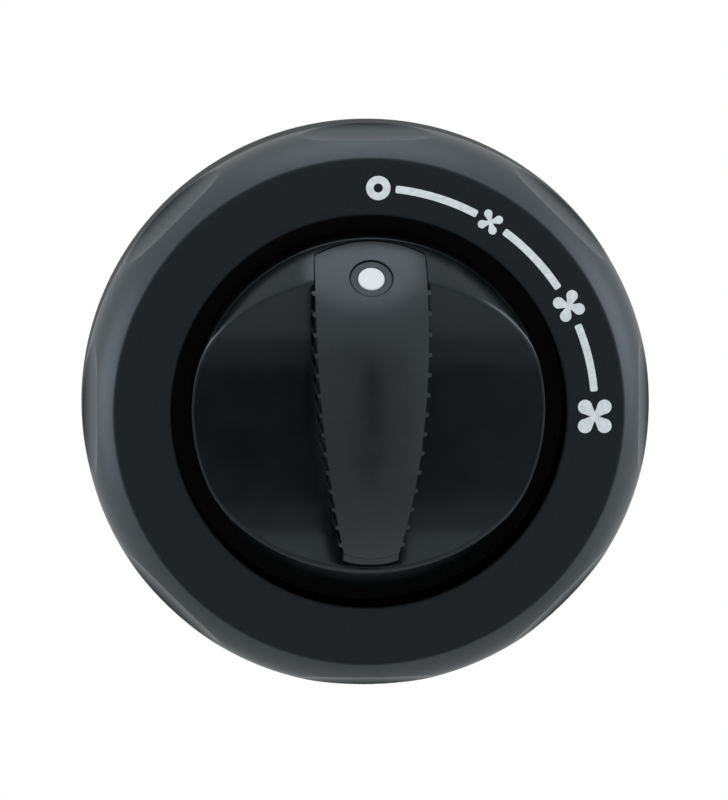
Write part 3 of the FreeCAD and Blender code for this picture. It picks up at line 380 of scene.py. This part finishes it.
rib_heights = [RIB_TOP + (RIB_LOW - RIB_TOP) * count / (RIBS - 1) for count in range(RIBS)]


def blade_half(z):
    return side_x + math.sqrt(SIDE_ARC ** 2 - (z - side_z) ** 2)


def ribbed_half(z):
    half = blade_half(z)
    for height in rib_heights:
        if abs(z - height) < RIB_R:
            half = max(half, blade_half(height) + RIB_OUT + math.sqrt(RIB_R ** 2 - (z - height) ** 2))
    return half


def plain_heights(steps):
    return [LOW_Z + (TOP_Z - LOW_Z) * step / steps for step in range(1, steps)]


def ribbed_heights(steps):
    heights = [z for z in plain_heights(steps)
               if all(abs(z - height) > RIB_R * RIB_CLEAR for height in rib_heights)]
    for height in rib_heights:
        heights += [height + RIB_R * part for part in RIB_PARTS]
    return sorted(heights)


def blade_outline(half_at, grow, heights):
    top_lean = math.degrees(math.asin(TOP_HALF / TOP_ARC))
    low_lean = math.degrees(math.asin(LOW_HALF / LOW_ARC))
    outline = arc((0, top_centre), TOP_ARC + grow, 90 - top_lean, 90 + top_lean, 40)
    outline += [(-half_at(z) - grow, z) for z in reversed(heights)]
    outline += arc((0, low_centre), LOW_ARC + grow, 270 - low_lean, 270 + low_lean, 24)
    outline += [(half_at(z) + grow, z) for z in heights]
    return outline + outline[:1]


print("ribs at", [round(height, 2) for height in rib_heights])

# %% [markdown]
# The outline is raised into a tongue. A slightly larger one without ribs cuts the slot in the cap with a
# boolean, because that edge is a clean moulded line, and the ribbed one becomes the grip.

# %% Slot in the cap, grip raised
SLOT_Y = -8.5
SLOT_GAP = 0.12
RAISED_Y = CREST_Y - 2


def tongue(name, outline, back):
    piece = trace(name, [(x, back, z) for x, z in outline])
    bpy.ops.mesh.select_all(action="SELECT")
    bpy.ops.mesh.remove_doubles(threshold=MERGE * MM)
    bpy.ops.mesh.edge_face_add()
    bpy.ops.mesh.extrude_region_move(TRANSFORM_OT_translate={"value": (0, (RAISED_Y - back) * MM, 0)})
    bpy.ops.mesh.select_all(action="SELECT")
    bpy.ops.mesh.normals_make_consistent(inside=False)
    bpy.ops.object.mode_set(mode="OBJECT")
    return piece


carve(knob_cap, tongue("grip_slot", blade_outline(blade_half, SLOT_GAP, plain_heights(60)), SLOT_Y))
smooth(knob_cap, 40)
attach(knob_cap, "knob")
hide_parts("knob_body")
grip = tongue("grip_blade", blade_outline(ribbed_half, 0.0, ribbed_heights(110)), SLOT_Y)
print("slot cut, grip outline raised")

# %% [markdown]
# The front of the grip follows the dome, so the raised tongue is intersected with a ball. At its lower end
# the real blade runs down to the cap in fine steps. Two thin curved strips make them, each intersected with
# a slightly smaller ball than the one before it.

# %% Dome on the grip, steps at its lower end
STEP_BACK_Y = -12.4
END_STEPS = ((0.10, 0.36, 0.2), (0.44, 0.95, 0.45))


def dome_ball(radius):
    clear_selection()
    bpy.ops.mesh.primitive_uv_sphere_add(segments=320, ring_count=160, radius=radius * MM,
                                         location=(0, BALL_Y * MM, 0))
    ball = bpy.context.object
    bpy.ops.object.transform_apply(location=True, rotation=True, scale=True)
    return ball


def end_step(inner, outer, drop):
    inner_lean, outer_lean = [math.degrees(math.asin(LOW_HALF / (LOW_ARC + grow))) for grow in (inner, outer)]
    outline = arc((0, low_centre), LOW_ARC + outer, 270 - outer_lean, 270 + outer_lean, 24)
    outline += arc((0, low_centre), LOW_ARC + inner, 270 + inner_lean, 270 - inner_lean, 24)
    strip = tongue("end_step", outline + outline[:1], STEP_BACK_Y)
    carve(strip, dome_ball(BALL_R - drop), "INTERSECT")
    return strip


carve(grip, dome_ball(BALL_R), "INTERSECT")
end_strips = [end_step(inner, outer, drop) for inner, outer, drop in END_STEPS]
print("grip domed,", len(end_strips), "end steps")

# %% [markdown]
# Near its top the grip has a shallow round well for the pointer, square to the dome. It is drilled with two
# rods along the dome's own radius: a wide one for the well and a narrow one for the light guide.

# %% Pointer well
POINTER_Z = 15.9
WELL_R, WELL_DEEP = 2.45, 0.3
DOT_R, DOT_GAP = 1.5, 0.08
GUIDE_HOLE_DEEP = 4.5
pointer_lean = math.asin(POINTER_Z / BALL_R)
outward = Vector((0, -math.cos(pointer_lean), math.sin(pointer_lean)))
ball_centre = Vector((0, BALL_Y, 0))


def along_pointer(height):
    return ball_centre + outward * (BALL_R + height)


carve(grip, rod("well_drill", WELL_R, along_pointer(-WELL_DEEP), along_pointer(2), 96))
carve(grip, rod("guide_drill", DOT_R + DOT_GAP, along_pointer(-GUIDE_HOLE_DEEP), along_pointer(1), 64))
grip = join([grip] + end_strips, "grip_blade")
smooth(grip, 30)
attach(grip, "knob")
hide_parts("knob_grip")
print("grip", len(grip.data.polygons), "faces")

# %% [markdown]
# The white dot is the front end of a bent clear rod that brings light from the lamp. Its rim is slightly
# rounded so that it catches the light as a separate piece in its well.

# %% Pointer dot and light guide
DOT_DEEP, DOT_OUT, DOT_SOFT = 4.0, 0.12, 0.15
GUIDE_R, GUIDE_BACK_Y, BEND_DEEP = 1.275, -5.4, 2.5
dot = rod("pointer_dot", DOT_R, along_pointer(-DOT_DEEP), along_pointer(-WELL_DEEP + DOT_OUT), 96)
apply_modifier(dot, "BEVEL", width=DOT_SOFT * MM, segments=3, limit_method="ANGLE",
               angle_limit=math.radians(40))
bend = along_pointer(-BEND_DEEP)
guide = rod("guide_rod", GUIDE_R, (0, bend.y, bend.z), (0, GUIDE_BACK_Y, bend.z), 48)
dot = join([dot, guide], "pointer_dot")
smooth(dot)
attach(dot, "knob")
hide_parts("pointer_light_guide")
print("pointer dot at", tuple(round(part, 2) for part in along_pointer(0)))

# %% [markdown]
# The dial is printed on the bezel's face: a ring for off, three bars between the positions, and three
# four-petalled fans that grow with the speed. Ink has next to no thickness, so each mark is drawn flat and
# raised by a few hundredths of a millimetre, which keeps it clear of the face without showing an edge.
# Places on the dial are clock angles: degrees clockwise from 12 o'clock.

# %% Helpers for printed marks
PRINT_Y = FACE_Y - 0.012
INK = 0.03
DIAL_R = 25.42


def on_dial(radius, clock):
    return radius * math.sin(math.radians(clock)), radius * math.cos(math.radians(clock))


def raise_ink(piece):
    bpy.ops.mesh.select_all(action="SELECT")
    bpy.ops.mesh.remove_doubles(threshold=MERGE * MM)
    bpy.ops.mesh.normals_make_consistent(inside=False)
    bpy.ops.mesh.extrude_region_move(TRANSFORM_OT_translate={"value": (0, -INK * MM, 0)})
    bpy.ops.mesh.select_all(action="SELECT")
    bpy.ops.mesh.normals_make_consistent(inside=False)
    bpy.ops.object.mode_set(mode="OBJECT")
    return piece


def fill_mark(name, spots):
    piece = trace(name, [(x, PRINT_Y, z) for x, z in spots + spots[:1]])
    bpy.ops.mesh.select_all(action="SELECT")
    bpy.ops.mesh.remove_doubles(threshold=MERGE * MM)
    bpy.ops.mesh.edge_face_add()
    bpy.ops.mesh.quads_convert_to_tris(quad_method="BEAUTY", ngon_method="BEAUTY")
    return raise_ink(piece)


print("dial circle", DIAL_R, "mm")

# %% [markdown]
# A bar follows the dial's circle and has four slightly rounded corners. The ring is a short line turned
# about its own centre. A fan is one outline that runs round four round petals and dips in between them.

# %% Printed dial
BAR_WIDE, BAR_SOFT, BAR_STEPS = 0.85, 0.22, 30
CORNER_PARTS = (15, 30, 45, 60, 75)
PETALS, PETAL_SWEEP = 4, 128
RING_AT, RING_OUTER, RING_INNER = 2.3, 1.37, 0.52
BARS = ((6.7, 28.5), (36.6, 56.9), (67.4, 85.1))
FANS = ((32.4, 1.45, 0.47, 0.30, -14), (62.1, 1.85, 0.65, 0.42, 17), (91.5, 2.35, 0.815, 0.48, 45))
soft_clock = math.degrees(BAR_SOFT / DIAL_R)


def soft_corner(radius, side, clock, along, first):
    leans = [math.radians(first - part) for part in CORNER_PARTS]
    return [on_dial(radius + side * BAR_SOFT * (abs(math.sin(lean)) - 1),
                    clock + along * soft_clock * (1 - abs(math.cos(lean)))) for lean in leans]


def printed_bar(start, end):
    outer, inner = DIAL_R + BAR_WIDE / 2, DIAL_R - BAR_WIDE / 2
    run = end - start - 2 * soft_clock
    clocks = [start + soft_clock + run * count / BAR_STEPS for count in range(BAR_STEPS + 1)]
    spots = [on_dial(outer, clock) for clock in clocks]
    spots += soft_corner(outer, 1, end, -1, 90)
    spots += soft_corner(inner, -1, end, -1, 0)
    spots += [on_dial(inner, clock) for clock in reversed(clocks)]
    spots += soft_corner(inner, -1, start, 1, 270)
    spots += soft_corner(outer, 1, start, 1, 180)
    return fill_mark("printed_bar", spots)


def printed_ring(clock, outer, inner):
    x, z = on_dial(DIAL_R, clock)
    piece = trace("printed_ring", [(x + inner, PRINT_Y, z), (x + outer, PRINT_Y, z)])
    bpy.ops.mesh.select_all(action="SELECT")
    bpy.ops.mesh.spin(steps=64, angle=2 * math.pi, center=(x * MM, PRINT_Y * MM, z * MM), axis=(0, 1, 0))
    return raise_ink(piece)


def printed_fan(clock, reach, lobe, notch, turned):
    x, z = on_dial(DIAL_R, clock)
    spots = []
    for petal in range(PETALS):
        heading = 90 - turned - 90 * petal
        lobe_x = (reach - lobe) * math.cos(math.radians(heading))
        lobe_z = (reach - lobe) * math.sin(math.radians(heading))
        rounded = arc((lobe_x, lobe_z), lobe, heading + PETAL_SWEEP, heading - PETAL_SWEEP, 28)
        spots += [(x + u, z + v) for u, v in rounded]
        between = math.radians(heading - 45)
        spots.append((x + notch * math.cos(between), z + notch * math.sin(between)))
    return fill_mark("printed_fan", spots)


marks = [printed_ring(RING_AT, RING_OUTER, RING_INNER)]
marks += [printed_bar(start, end) for start, end in BARS]
marks += [printed_fan(*fan) for fan in FANS]
dial_print = join(marks, "dial_print")
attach(dial_print, "base")
print("dial marks", len(marks))

# %% [markdown]
# Finishes. Moulded plastic is never one flat colour: it has a faint mottle, its gloss varies, and a
# grained tool leaves a fine texture. Each finish is a Principled shader fed by noise in Object
# coordinates, so that it stays on the piece when the knob turns. Scales are in features per metre.
# The first helpers add one node each and return its result.

# %% Helpers for finish nodes
NOISE_LOW, NOISE_HIGH = 0.25, 0.75


def finish_nodes(name):
    material = bpy.data.materials.new(name)
    material.use_nodes = True
    tree = material.node_tree
    shader = tree.nodes["Principled BSDF"]
    place = tree.nodes.new("ShaderNodeTexCoord")
    return material, tree, shader, place


def feed(tree, socket, source):
    if isinstance(source, bpy.types.NodeSocket):
        tree.links.new(source, socket)
    else:
        socket.default_value = source


def add_noise(tree, place, scale, detail=3.0):
    noise = tree.nodes.new("ShaderNodeTexNoise")
    noise.inputs["Scale"].default_value = scale
    noise.inputs["Detail"].default_value = detail
    tree.links.new(place.outputs["Object"], noise.inputs["Vector"])
    return noise.outputs["Fac"]


def rescale(tree, source, start, end, low=0.0, high=1.0):
    node = tree.nodes.new("ShaderNodeMapRange")
    feed(tree, node.inputs["Value"], source)
    feed(tree, node.inputs["From Min"], start)
    feed(tree, node.inputs["From Max"], end)
    feed(tree, node.inputs["To Min"], low)
    feed(tree, node.inputs["To Max"], high)
    return node.outputs["Result"]


def spread(tree, noise, low, high):
    return rescale(tree, noise, NOISE_LOW, NOISE_HIGH, low, high)


def blend(tree, factor, first, second):
    mix = tree.nodes.new("ShaderNodeMix")
    mix.data_type = "RGBA"
    feed(tree, mix.inputs["Factor"], factor)
    feed(tree, mix.inputs["A"], first)
    feed(tree, mix.inputs["B"], second)
    return mix.outputs["Result"]


def mottle(tree, source, dark, light):
    return blend(tree, source, (*dark, 1), (*light, 1))


def combine(tree, operation, first, second):
    node = tree.nodes.new("ShaderNodeMath")
    node.operation = operation
    feed(tree, node.inputs[0], first)
    feed(tree, node.inputs[1], second)
    return node.outputs["Value"]


def add_bump(tree, shader, height, strength, deep):
    bump = tree.nodes.new("ShaderNodeBump")
    bump.inputs["Strength"].default_value = strength
    bump.inputs["Distance"].default_value = deep * MM
    tree.links.new(height, bump.inputs["Height"])
    tree.links.new(bump.outputs["Normal"], shader.inputs["Normal"])


print("finish helpers ready")

# %% [markdown]
# Most pieces share one kind of finish: a cloudy noise mixes two near colours and varies the roughness, and
# a finer noise makes a slight grain. Metals only differ in their numbers.

# %% Plain finish
GRAIN_DEEP = 0.05


def plain_finish(name, dark, light, rough, metallic=0.0, mottle_scale=250, grain_scale=5000, grain=0.05,
                 shine=0.5, tint=(1.0, 1.0, 1.0), vary=0.04):
    material, tree, shader, place = finish_nodes(name)
    cloud = add_noise(tree, place, mottle_scale)
    colour = mottle(tree, spread(tree, cloud, 0, 1), dark, light)
    tree.links.new(colour, shader.inputs["Base Color"])
    tree.links.new(spread(tree, cloud, rough - vary, rough + vary), shader.inputs["Roughness"])
    shader.inputs["Metallic"].default_value = metallic
    shader.inputs["Specular IOR Level"].default_value = shine
    shader.inputs["Specular Tint"].default_value = (*tint, 1)
    add_bump(tree, shader, add_noise(tree, place, grain_scale), grain, GRAIN_DEEP)
    return material


print("plain finish ready")

# %% [markdown]
# The bezel has two finishes from one tool: a fine spark-eroded grain on the flat face, where the dial is
# printed, and a smoother satin on the rim. The mask between them is the height above the panel, which
# the Object coordinate gives directly. By the same height the straight band is kept duller than the rim.
# The wall of the opening is painted nearly black and without gloss: painted shade, because hardly any light
# comes back out of that narrow gap. Its mask is the distance from the axis.

# %% Bezel finish
# A cool tint on the reflections of the black plastics: painted colour of the tent's light, not the plastics'
# own.
COOL_LIGHT_TINT = (0.77, 0.90, 1.0)
RIM_DARK, RIM_LIGHT = (0.016, 0.019, 0.021), (0.021, 0.025, 0.027)
FACE_DARK, FACE_LIGHT = (0.005, 0.0065, 0.007), (0.011, 0.0135, 0.0145)
# Painted shade: the opening wall is the bezel's own black plastic, drawn nearly black because it lies in the
# gap's shade.
GAP_PAINTED_SHADE = (0.0006, 0.0006, 0.0006, 1)
FACE_FROM_Y, FACE_FULL_Y = -10.30, -10.46
BAND_FROM_Y, BAND_FULL_Y = -5.5, -4.3
GAP_FULL_R, GAP_END_R = 22.22, 22.45
RIM_ROUGH, FACE_ROUGH = 0.42, 0.62
RIM_SHINE, BAND_SHINE, FACE_SHINE, MEAN_SHINE = 0.56, 0.01, 0.16, 0.3
FACE_GRAIN_SCALE, FACE_GRAIN, FACE_GRAIN_DEEP = 4200, 0.35, 0.06


def axis_distance(tree, place):
    flat = tree.nodes.new("ShaderNodeVectorMath")
    flat.operation = "MULTIPLY"
    flat.inputs[1].default_value = (1, 0, 1)
    tree.links.new(place.outputs["Object"], flat.inputs[0])
    reach = tree.nodes.new("ShaderNodeVectorMath")
    reach.operation = "LENGTH"
    tree.links.new(flat.outputs["Vector"], reach.inputs[0])
    return reach.outputs["Value"]


def bezel_finish():
    material, tree, shader, place = finish_nodes("bezel_black")
    axes = tree.nodes.new("ShaderNodeSeparateXYZ")
    tree.links.new(place.outputs["Object"], axes.inputs["Vector"])
    height = axes.outputs["Y"]
    face = rescale(tree, height, FACE_FROM_Y * MM, FACE_FULL_Y * MM)
    outside_gap_shade = rescale(tree, axis_distance(tree, place), GAP_FULL_R * MM, GAP_END_R * MM)
    grain = add_noise(tree, place, FACE_GRAIN_SCALE, 2.0)
    rim_colour = mottle(tree, grain, RIM_DARK, RIM_LIGHT)
    face_colour = mottle(tree, grain, FACE_DARK, FACE_LIGHT)
    colour = blend(tree, outside_gap_shade, GAP_PAINTED_SHADE, blend(tree, face, rim_colour, face_colour))
    tree.links.new(colour, shader.inputs["Base Color"])
    tree.links.new(rescale(tree, face, 0, 1, RIM_ROUGH, FACE_ROUGH), shader.inputs["Roughness"])
    rim_shine = rescale(tree, height, BAND_FROM_Y * MM, BAND_FULL_Y * MM, RIM_SHINE, BAND_SHINE)
    # In the gap the gloss is taken away as well, as painted shade.
    shine = combine(tree, "MULTIPLY", rescale(tree, face, 0, 1, rim_shine, FACE_SHINE), outside_gap_shade)
    shader.inputs["Specular IOR Level"].default_value = MEAN_SHINE
    tree.links.new(shine, shader.inputs["Specular IOR Level"])
    shader.inputs["Specular Tint"].default_value = (*COOL_LIGHT_TINT, 1)
    add_bump(tree, shader, combine(tree, "MULTIPLY", face, grain), FACE_GRAIN, FACE_GRAIN_DEEP)
    return material


bezel_black = bezel_finish()
print("bezel finish", len(bezel_black.node_tree.nodes), "nodes")

# %% [markdown]
# The grip is a plain black with a little more roughness than the cap. Around the pointer's well the gloss is
# lowered as painted shade: a little on the well's floor and most in a thin dark ring at its edge. The
# distance from the middle of the well's floor runs through a colour ramp with four stops.

# %% Grip finish
RING_FROM, RING_TO = 1.5, 3.0
# The lower shine on the well's floor and in the thin ring at its edge is painted shade, not a different
# surface.
WELL_STOP, WELL_SHINE = 0.50, 0.40
PAINTED_SHADE_STOPS, PAINTED_SHADE_SHINE = (0.55, 0.64), 0.08
BLADE_STOP, BLADE_SHINE = 0.70, 0.50


def grip_finish():
    material = plain_finish("grip_black", (0.003, 0.0036, 0.0038), (0.005, 0.0058, 0.0062), 0.26, grain=0.02,
                            tint=COOL_LIGHT_TINT)
    tree = material.node_tree
    from_dot = tree.nodes.new("ShaderNodeVectorMath")
    from_dot.operation = "DISTANCE"
    from_dot.inputs[1].default_value = along_pointer(-WELL_DEEP) * MM
    tree.links.new(tree.nodes["Texture Coordinate"].outputs["Object"], from_dot.inputs[0])
    reach = rescale(tree, from_dot.outputs["Value"], RING_FROM * MM, RING_TO * MM)
    ramp = tree.nodes.new("ShaderNodeValToRGB")
    stops = ramp.color_ramp.elements
    stops[0].position = WELL_STOP
    stops[0].color = (WELL_SHINE, WELL_SHINE, WELL_SHINE, 1)
    stops[1].position = BLADE_STOP
    stops[1].color = (BLADE_SHINE, BLADE_SHINE, BLADE_SHINE, 1)
    for position in PAINTED_SHADE_STOPS:
        stops.new(position).color = (PAINTED_SHADE_SHINE, PAINTED_SHADE_SHINE, PAINTED_SHADE_SHINE, 1)
    tree.links.new(reach, ramp.inputs["Fac"])
    tree.links.new(ramp.outputs["Color"], tree.nodes["Principled BSDF"].inputs["Specular IOR Level"])
    return material


grip_black = grip_finish()
print("grip finish", len(grip_black.node_tree.nodes), "nodes")

# %% [markdown]
# Every material slot of the solids gets a finish of its own: black mouldings, white ink and pointer, a brown
# rear plate, brass terminals, plated screws, spring steel, and pale plastics and glass inside.

# %% All finishes
finishes = {
    "bezel": bezel_black,
    "knob": plain_finish("knob_black", (0.0012, 0.0020, 0.0020), (0.0022, 0.0032, 0.0032), 0.175, grain=0.02,
                         shine=0.44, tint=COOL_LIGHT_TINT, vary=0.015),
    "grip": grip_black,
    "pointer": plain_finish("pointer_white", (0.52, 0.57, 0.60), (0.58, 0.63, 0.66), 0.45),
    "print": plain_finish("dial_ink", (0.48, 0.54, 0.56), (0.68, 0.74, 0.76), 0.6, mottle_scale=1800),
    "housing": plain_finish("housing_black", (0.002, 0.0022, 0.0024), (0.004, 0.0042, 0.0044), 0.6,
                            grain=0.15, shine=0.12),
    "screw_steel": plain_finish("zinc_plate", (0.50, 0.50, 0.48), (0.66, 0.66, 0.64), 0.32, 1.0, 900),
    "base": plain_finish("base_brown", (0.055, 0.032, 0.018), (0.085, 0.052, 0.030), 0.5, grain=0.2),
    "terminal_brass": plain_finish("brass", (0.66, 0.47, 0.17), (0.80, 0.60, 0.26), 0.30, 1.0, 700),
    "holder": plain_finish("holder_cream", (0.56, 0.53, 0.45), (0.64, 0.61, 0.53), 0.5),
    "bulb": plain_finish("bulb_glass", (0.82, 0.84, 0.84), (0.90, 0.91, 0.91), 0.1),
    "clear_plastic": plain_finish("light_ring_clear", (0.72, 0.75, 0.76), (0.80, 0.82, 0.83), 0.2),
    "spring_steel": plain_finish("leaf_spring_steel", (0.36, 0.36, 0.37), (0.50, 0.50, 0.51), 0.28, 1.0, 900),
    "rotor": plain_finish("rotor_acetal", (0.66, 0.65, 0.60), (0.74, 0.73, 0.68), 0.4),
}
print("finishes", len(finishes))

# %% Put the finishes on
node_slots = {entry["node"]: entry["material_slot"] for entry in frame["record"]["subparts"]}
new_pieces = ((bezel, "bezel"), (knob_cap, "knob"), (grip, "grip"), (dot, "pointer"), (dial_print, "print"))


def paint(piece, finish):
    piece.data.materials.clear()
    piece.data.materials.append(finishes[finish])


for name, slot in node_slots.items():
    paint(nodes[name], slot)
for piece, finish in new_pieces:
    paint(piece, finish)
print("painted", len(node_slots), "nodes and", len(new_pieces), "new pieces")

# %% [markdown]
# The photograph is a product shot in a bright tent, white all round. The world is white for what is seen
# and mirrored, and slightly weaker for soft light. The floor lies far below, since the switch hangs in its
# panel.

# %% Floor and tent
FLOOR_SIZE, FLOOR_Z, FLOOR_GREY = 4.0, -1.6, 0.75
SOFT_LIGHT, SEEN_WHITE = 0.9, 1.0


def stage_finish(name, level, rough, shine):
    material = bpy.data.materials.new(name)
    material.use_nodes = True
    shader = material.node_tree.nodes["Principled BSDF"]
    shader.inputs["Base Color"].default_value = (level, level, level, 1)
    shader.inputs["Roughness"].default_value = rough
    shader.inputs["Specular IOR Level"].default_value = shine
    return material


clear_selection()
bpy.ops.mesh.primitive_plane_add(size=FLOOR_SIZE, location=(0, 0, FLOOR_Z))
floor = bpy.context.object
floor.name = "floor"
floor.data.materials.append(stage_finish("pale_floor", FLOOR_GREY, 0.9, 0.5))

world = bpy.data.worlds.new("tent")
bpy.context.scene.world = world
world.use_nodes = True
sky = world.node_tree
ray = sky.nodes.new("ShaderNodeLightPath")
seen = combine(sky, "MAXIMUM", ray.outputs["Is Camera Ray"], ray.outputs["Is Glossy Ray"])
seen = combine(sky, "MAXIMUM", seen, ray.outputs["Is Transmission Ray"])
background = sky.nodes["Background"]
background.inputs["Color"].default_value = (1, 1, 1, 1)
sky.links.new(rescale(sky, seen, 0, 1, SOFT_LIGHT, SEEN_WHITE), background.inputs["Strength"])
print("floor at", FLOOR_Z, "m")

# %% [markdown]
# The camera stands far off with a long lens, slightly to the left and above the axis, as the shift between
# the circles of bezel and knob shows. Directions are given as azimuth, to the right of the front, and
# elevation.

# %% Camera
CAMERA_AZIMUTH, CAMERA_ELEVATION, CAMERA_DISTANCE = -3.2, 8.2, 1.5
aim = Vector((-0.12, -2.25, 0.21)) * MM


def seen_from(azimuth, elevation, distance):
    across, up = math.radians(azimuth), math.radians(elevation)
    heading = Vector((math.sin(across) * math.cos(up), -math.cos(across) * math.cos(up), math.sin(up)))
    return aim + heading * distance


def look(thing, spot):
    thing.rotation_euler = (spot - thing.location).to_track_quat("-Z", "Y").to_euler()


camera_data = bpy.data.cameras.new("camera")
camera_data.sensor_fit = "VERTICAL"
camera_data.sensor_height = 36
camera_data.lens = 597.5
camera_data.clip_start = 0.01
camera = bpy.data.objects.new("camera", camera_data)
bpy.context.scene.collection.objects.link(camera)
camera.location = seen_from(CAMERA_AZIMUTH, CAMERA_ELEVATION, CAMERA_DISTANCE)
look(camera, aim)
bpy.context.scene.camera = camera
bpy.context.scene.view_settings.view_transform = "Standard"
print("camera at", tuple(round(part, 4) for part in camera.location))

# %% [markdown]
# Three weak soft boxes, one above and one at each side, lift the rim out of the black. The glossy knob
# mirrors what stands in front of it. Three cards that only mirrors see give it something to show: a narrow
# black one for the streak down the blade and the dark of the scoops, a slightly wider and taller dim one
# behind it that softens its edges, and a large grey one that dims the rest of the front.

# %% Soft boxes and cards
BOX_DISTANCE = 0.9


def soft_box(name, azimuth, elevation, size, watts):
    data = bpy.data.lights.new(name, "AREA")
    data.shape = "DISK"
    data.size = size
    data.energy = watts
    lamp = bpy.data.objects.new(name, data)
    bpy.context.scene.collection.objects.link(lamp)
    lamp.location = seen_from(azimuth, elevation, BOX_DISTANCE)
    look(lamp, aim)


def mirrored_card(name, azimuth, elevation, distance, width, height, level):
    clear_selection()
    bpy.ops.mesh.primitive_plane_add(size=1.0)
    card = bpy.context.object
    card.name = name
    card.scale = (width, height, 1)
    card.location = seen_from(azimuth, elevation, distance)
    look(card, aim)
    card.data.materials.append(stage_finish(name, level, 1.0, 0.0))
    card.visible_camera = False
    card.visible_shadow = False
    card.visible_diffuse = False


soft_box("top_box", azimuth=0, elevation=82, size=0.85, watts=3.0)
soft_box("left_box", azimuth=-80, elevation=0, size=0.6, watts=2.6)
soft_box("right_box", azimuth=80, elevation=12, size=0.6, watts=2.6)
mirrored_card("dark_card", azimuth=2, elevation=-6, distance=0.80, width=0.10, height=0.86, level=0.002)
mirrored_card("dim_card", azimuth=2, elevation=-6, distance=0.86, width=0.13, height=1.45, level=0.25)
mirrored_card("grey_card", azimuth=-14, elevation=0, distance=0.95, width=1.50, height=1.40, level=0.65)
print("three soft boxes and three cards")
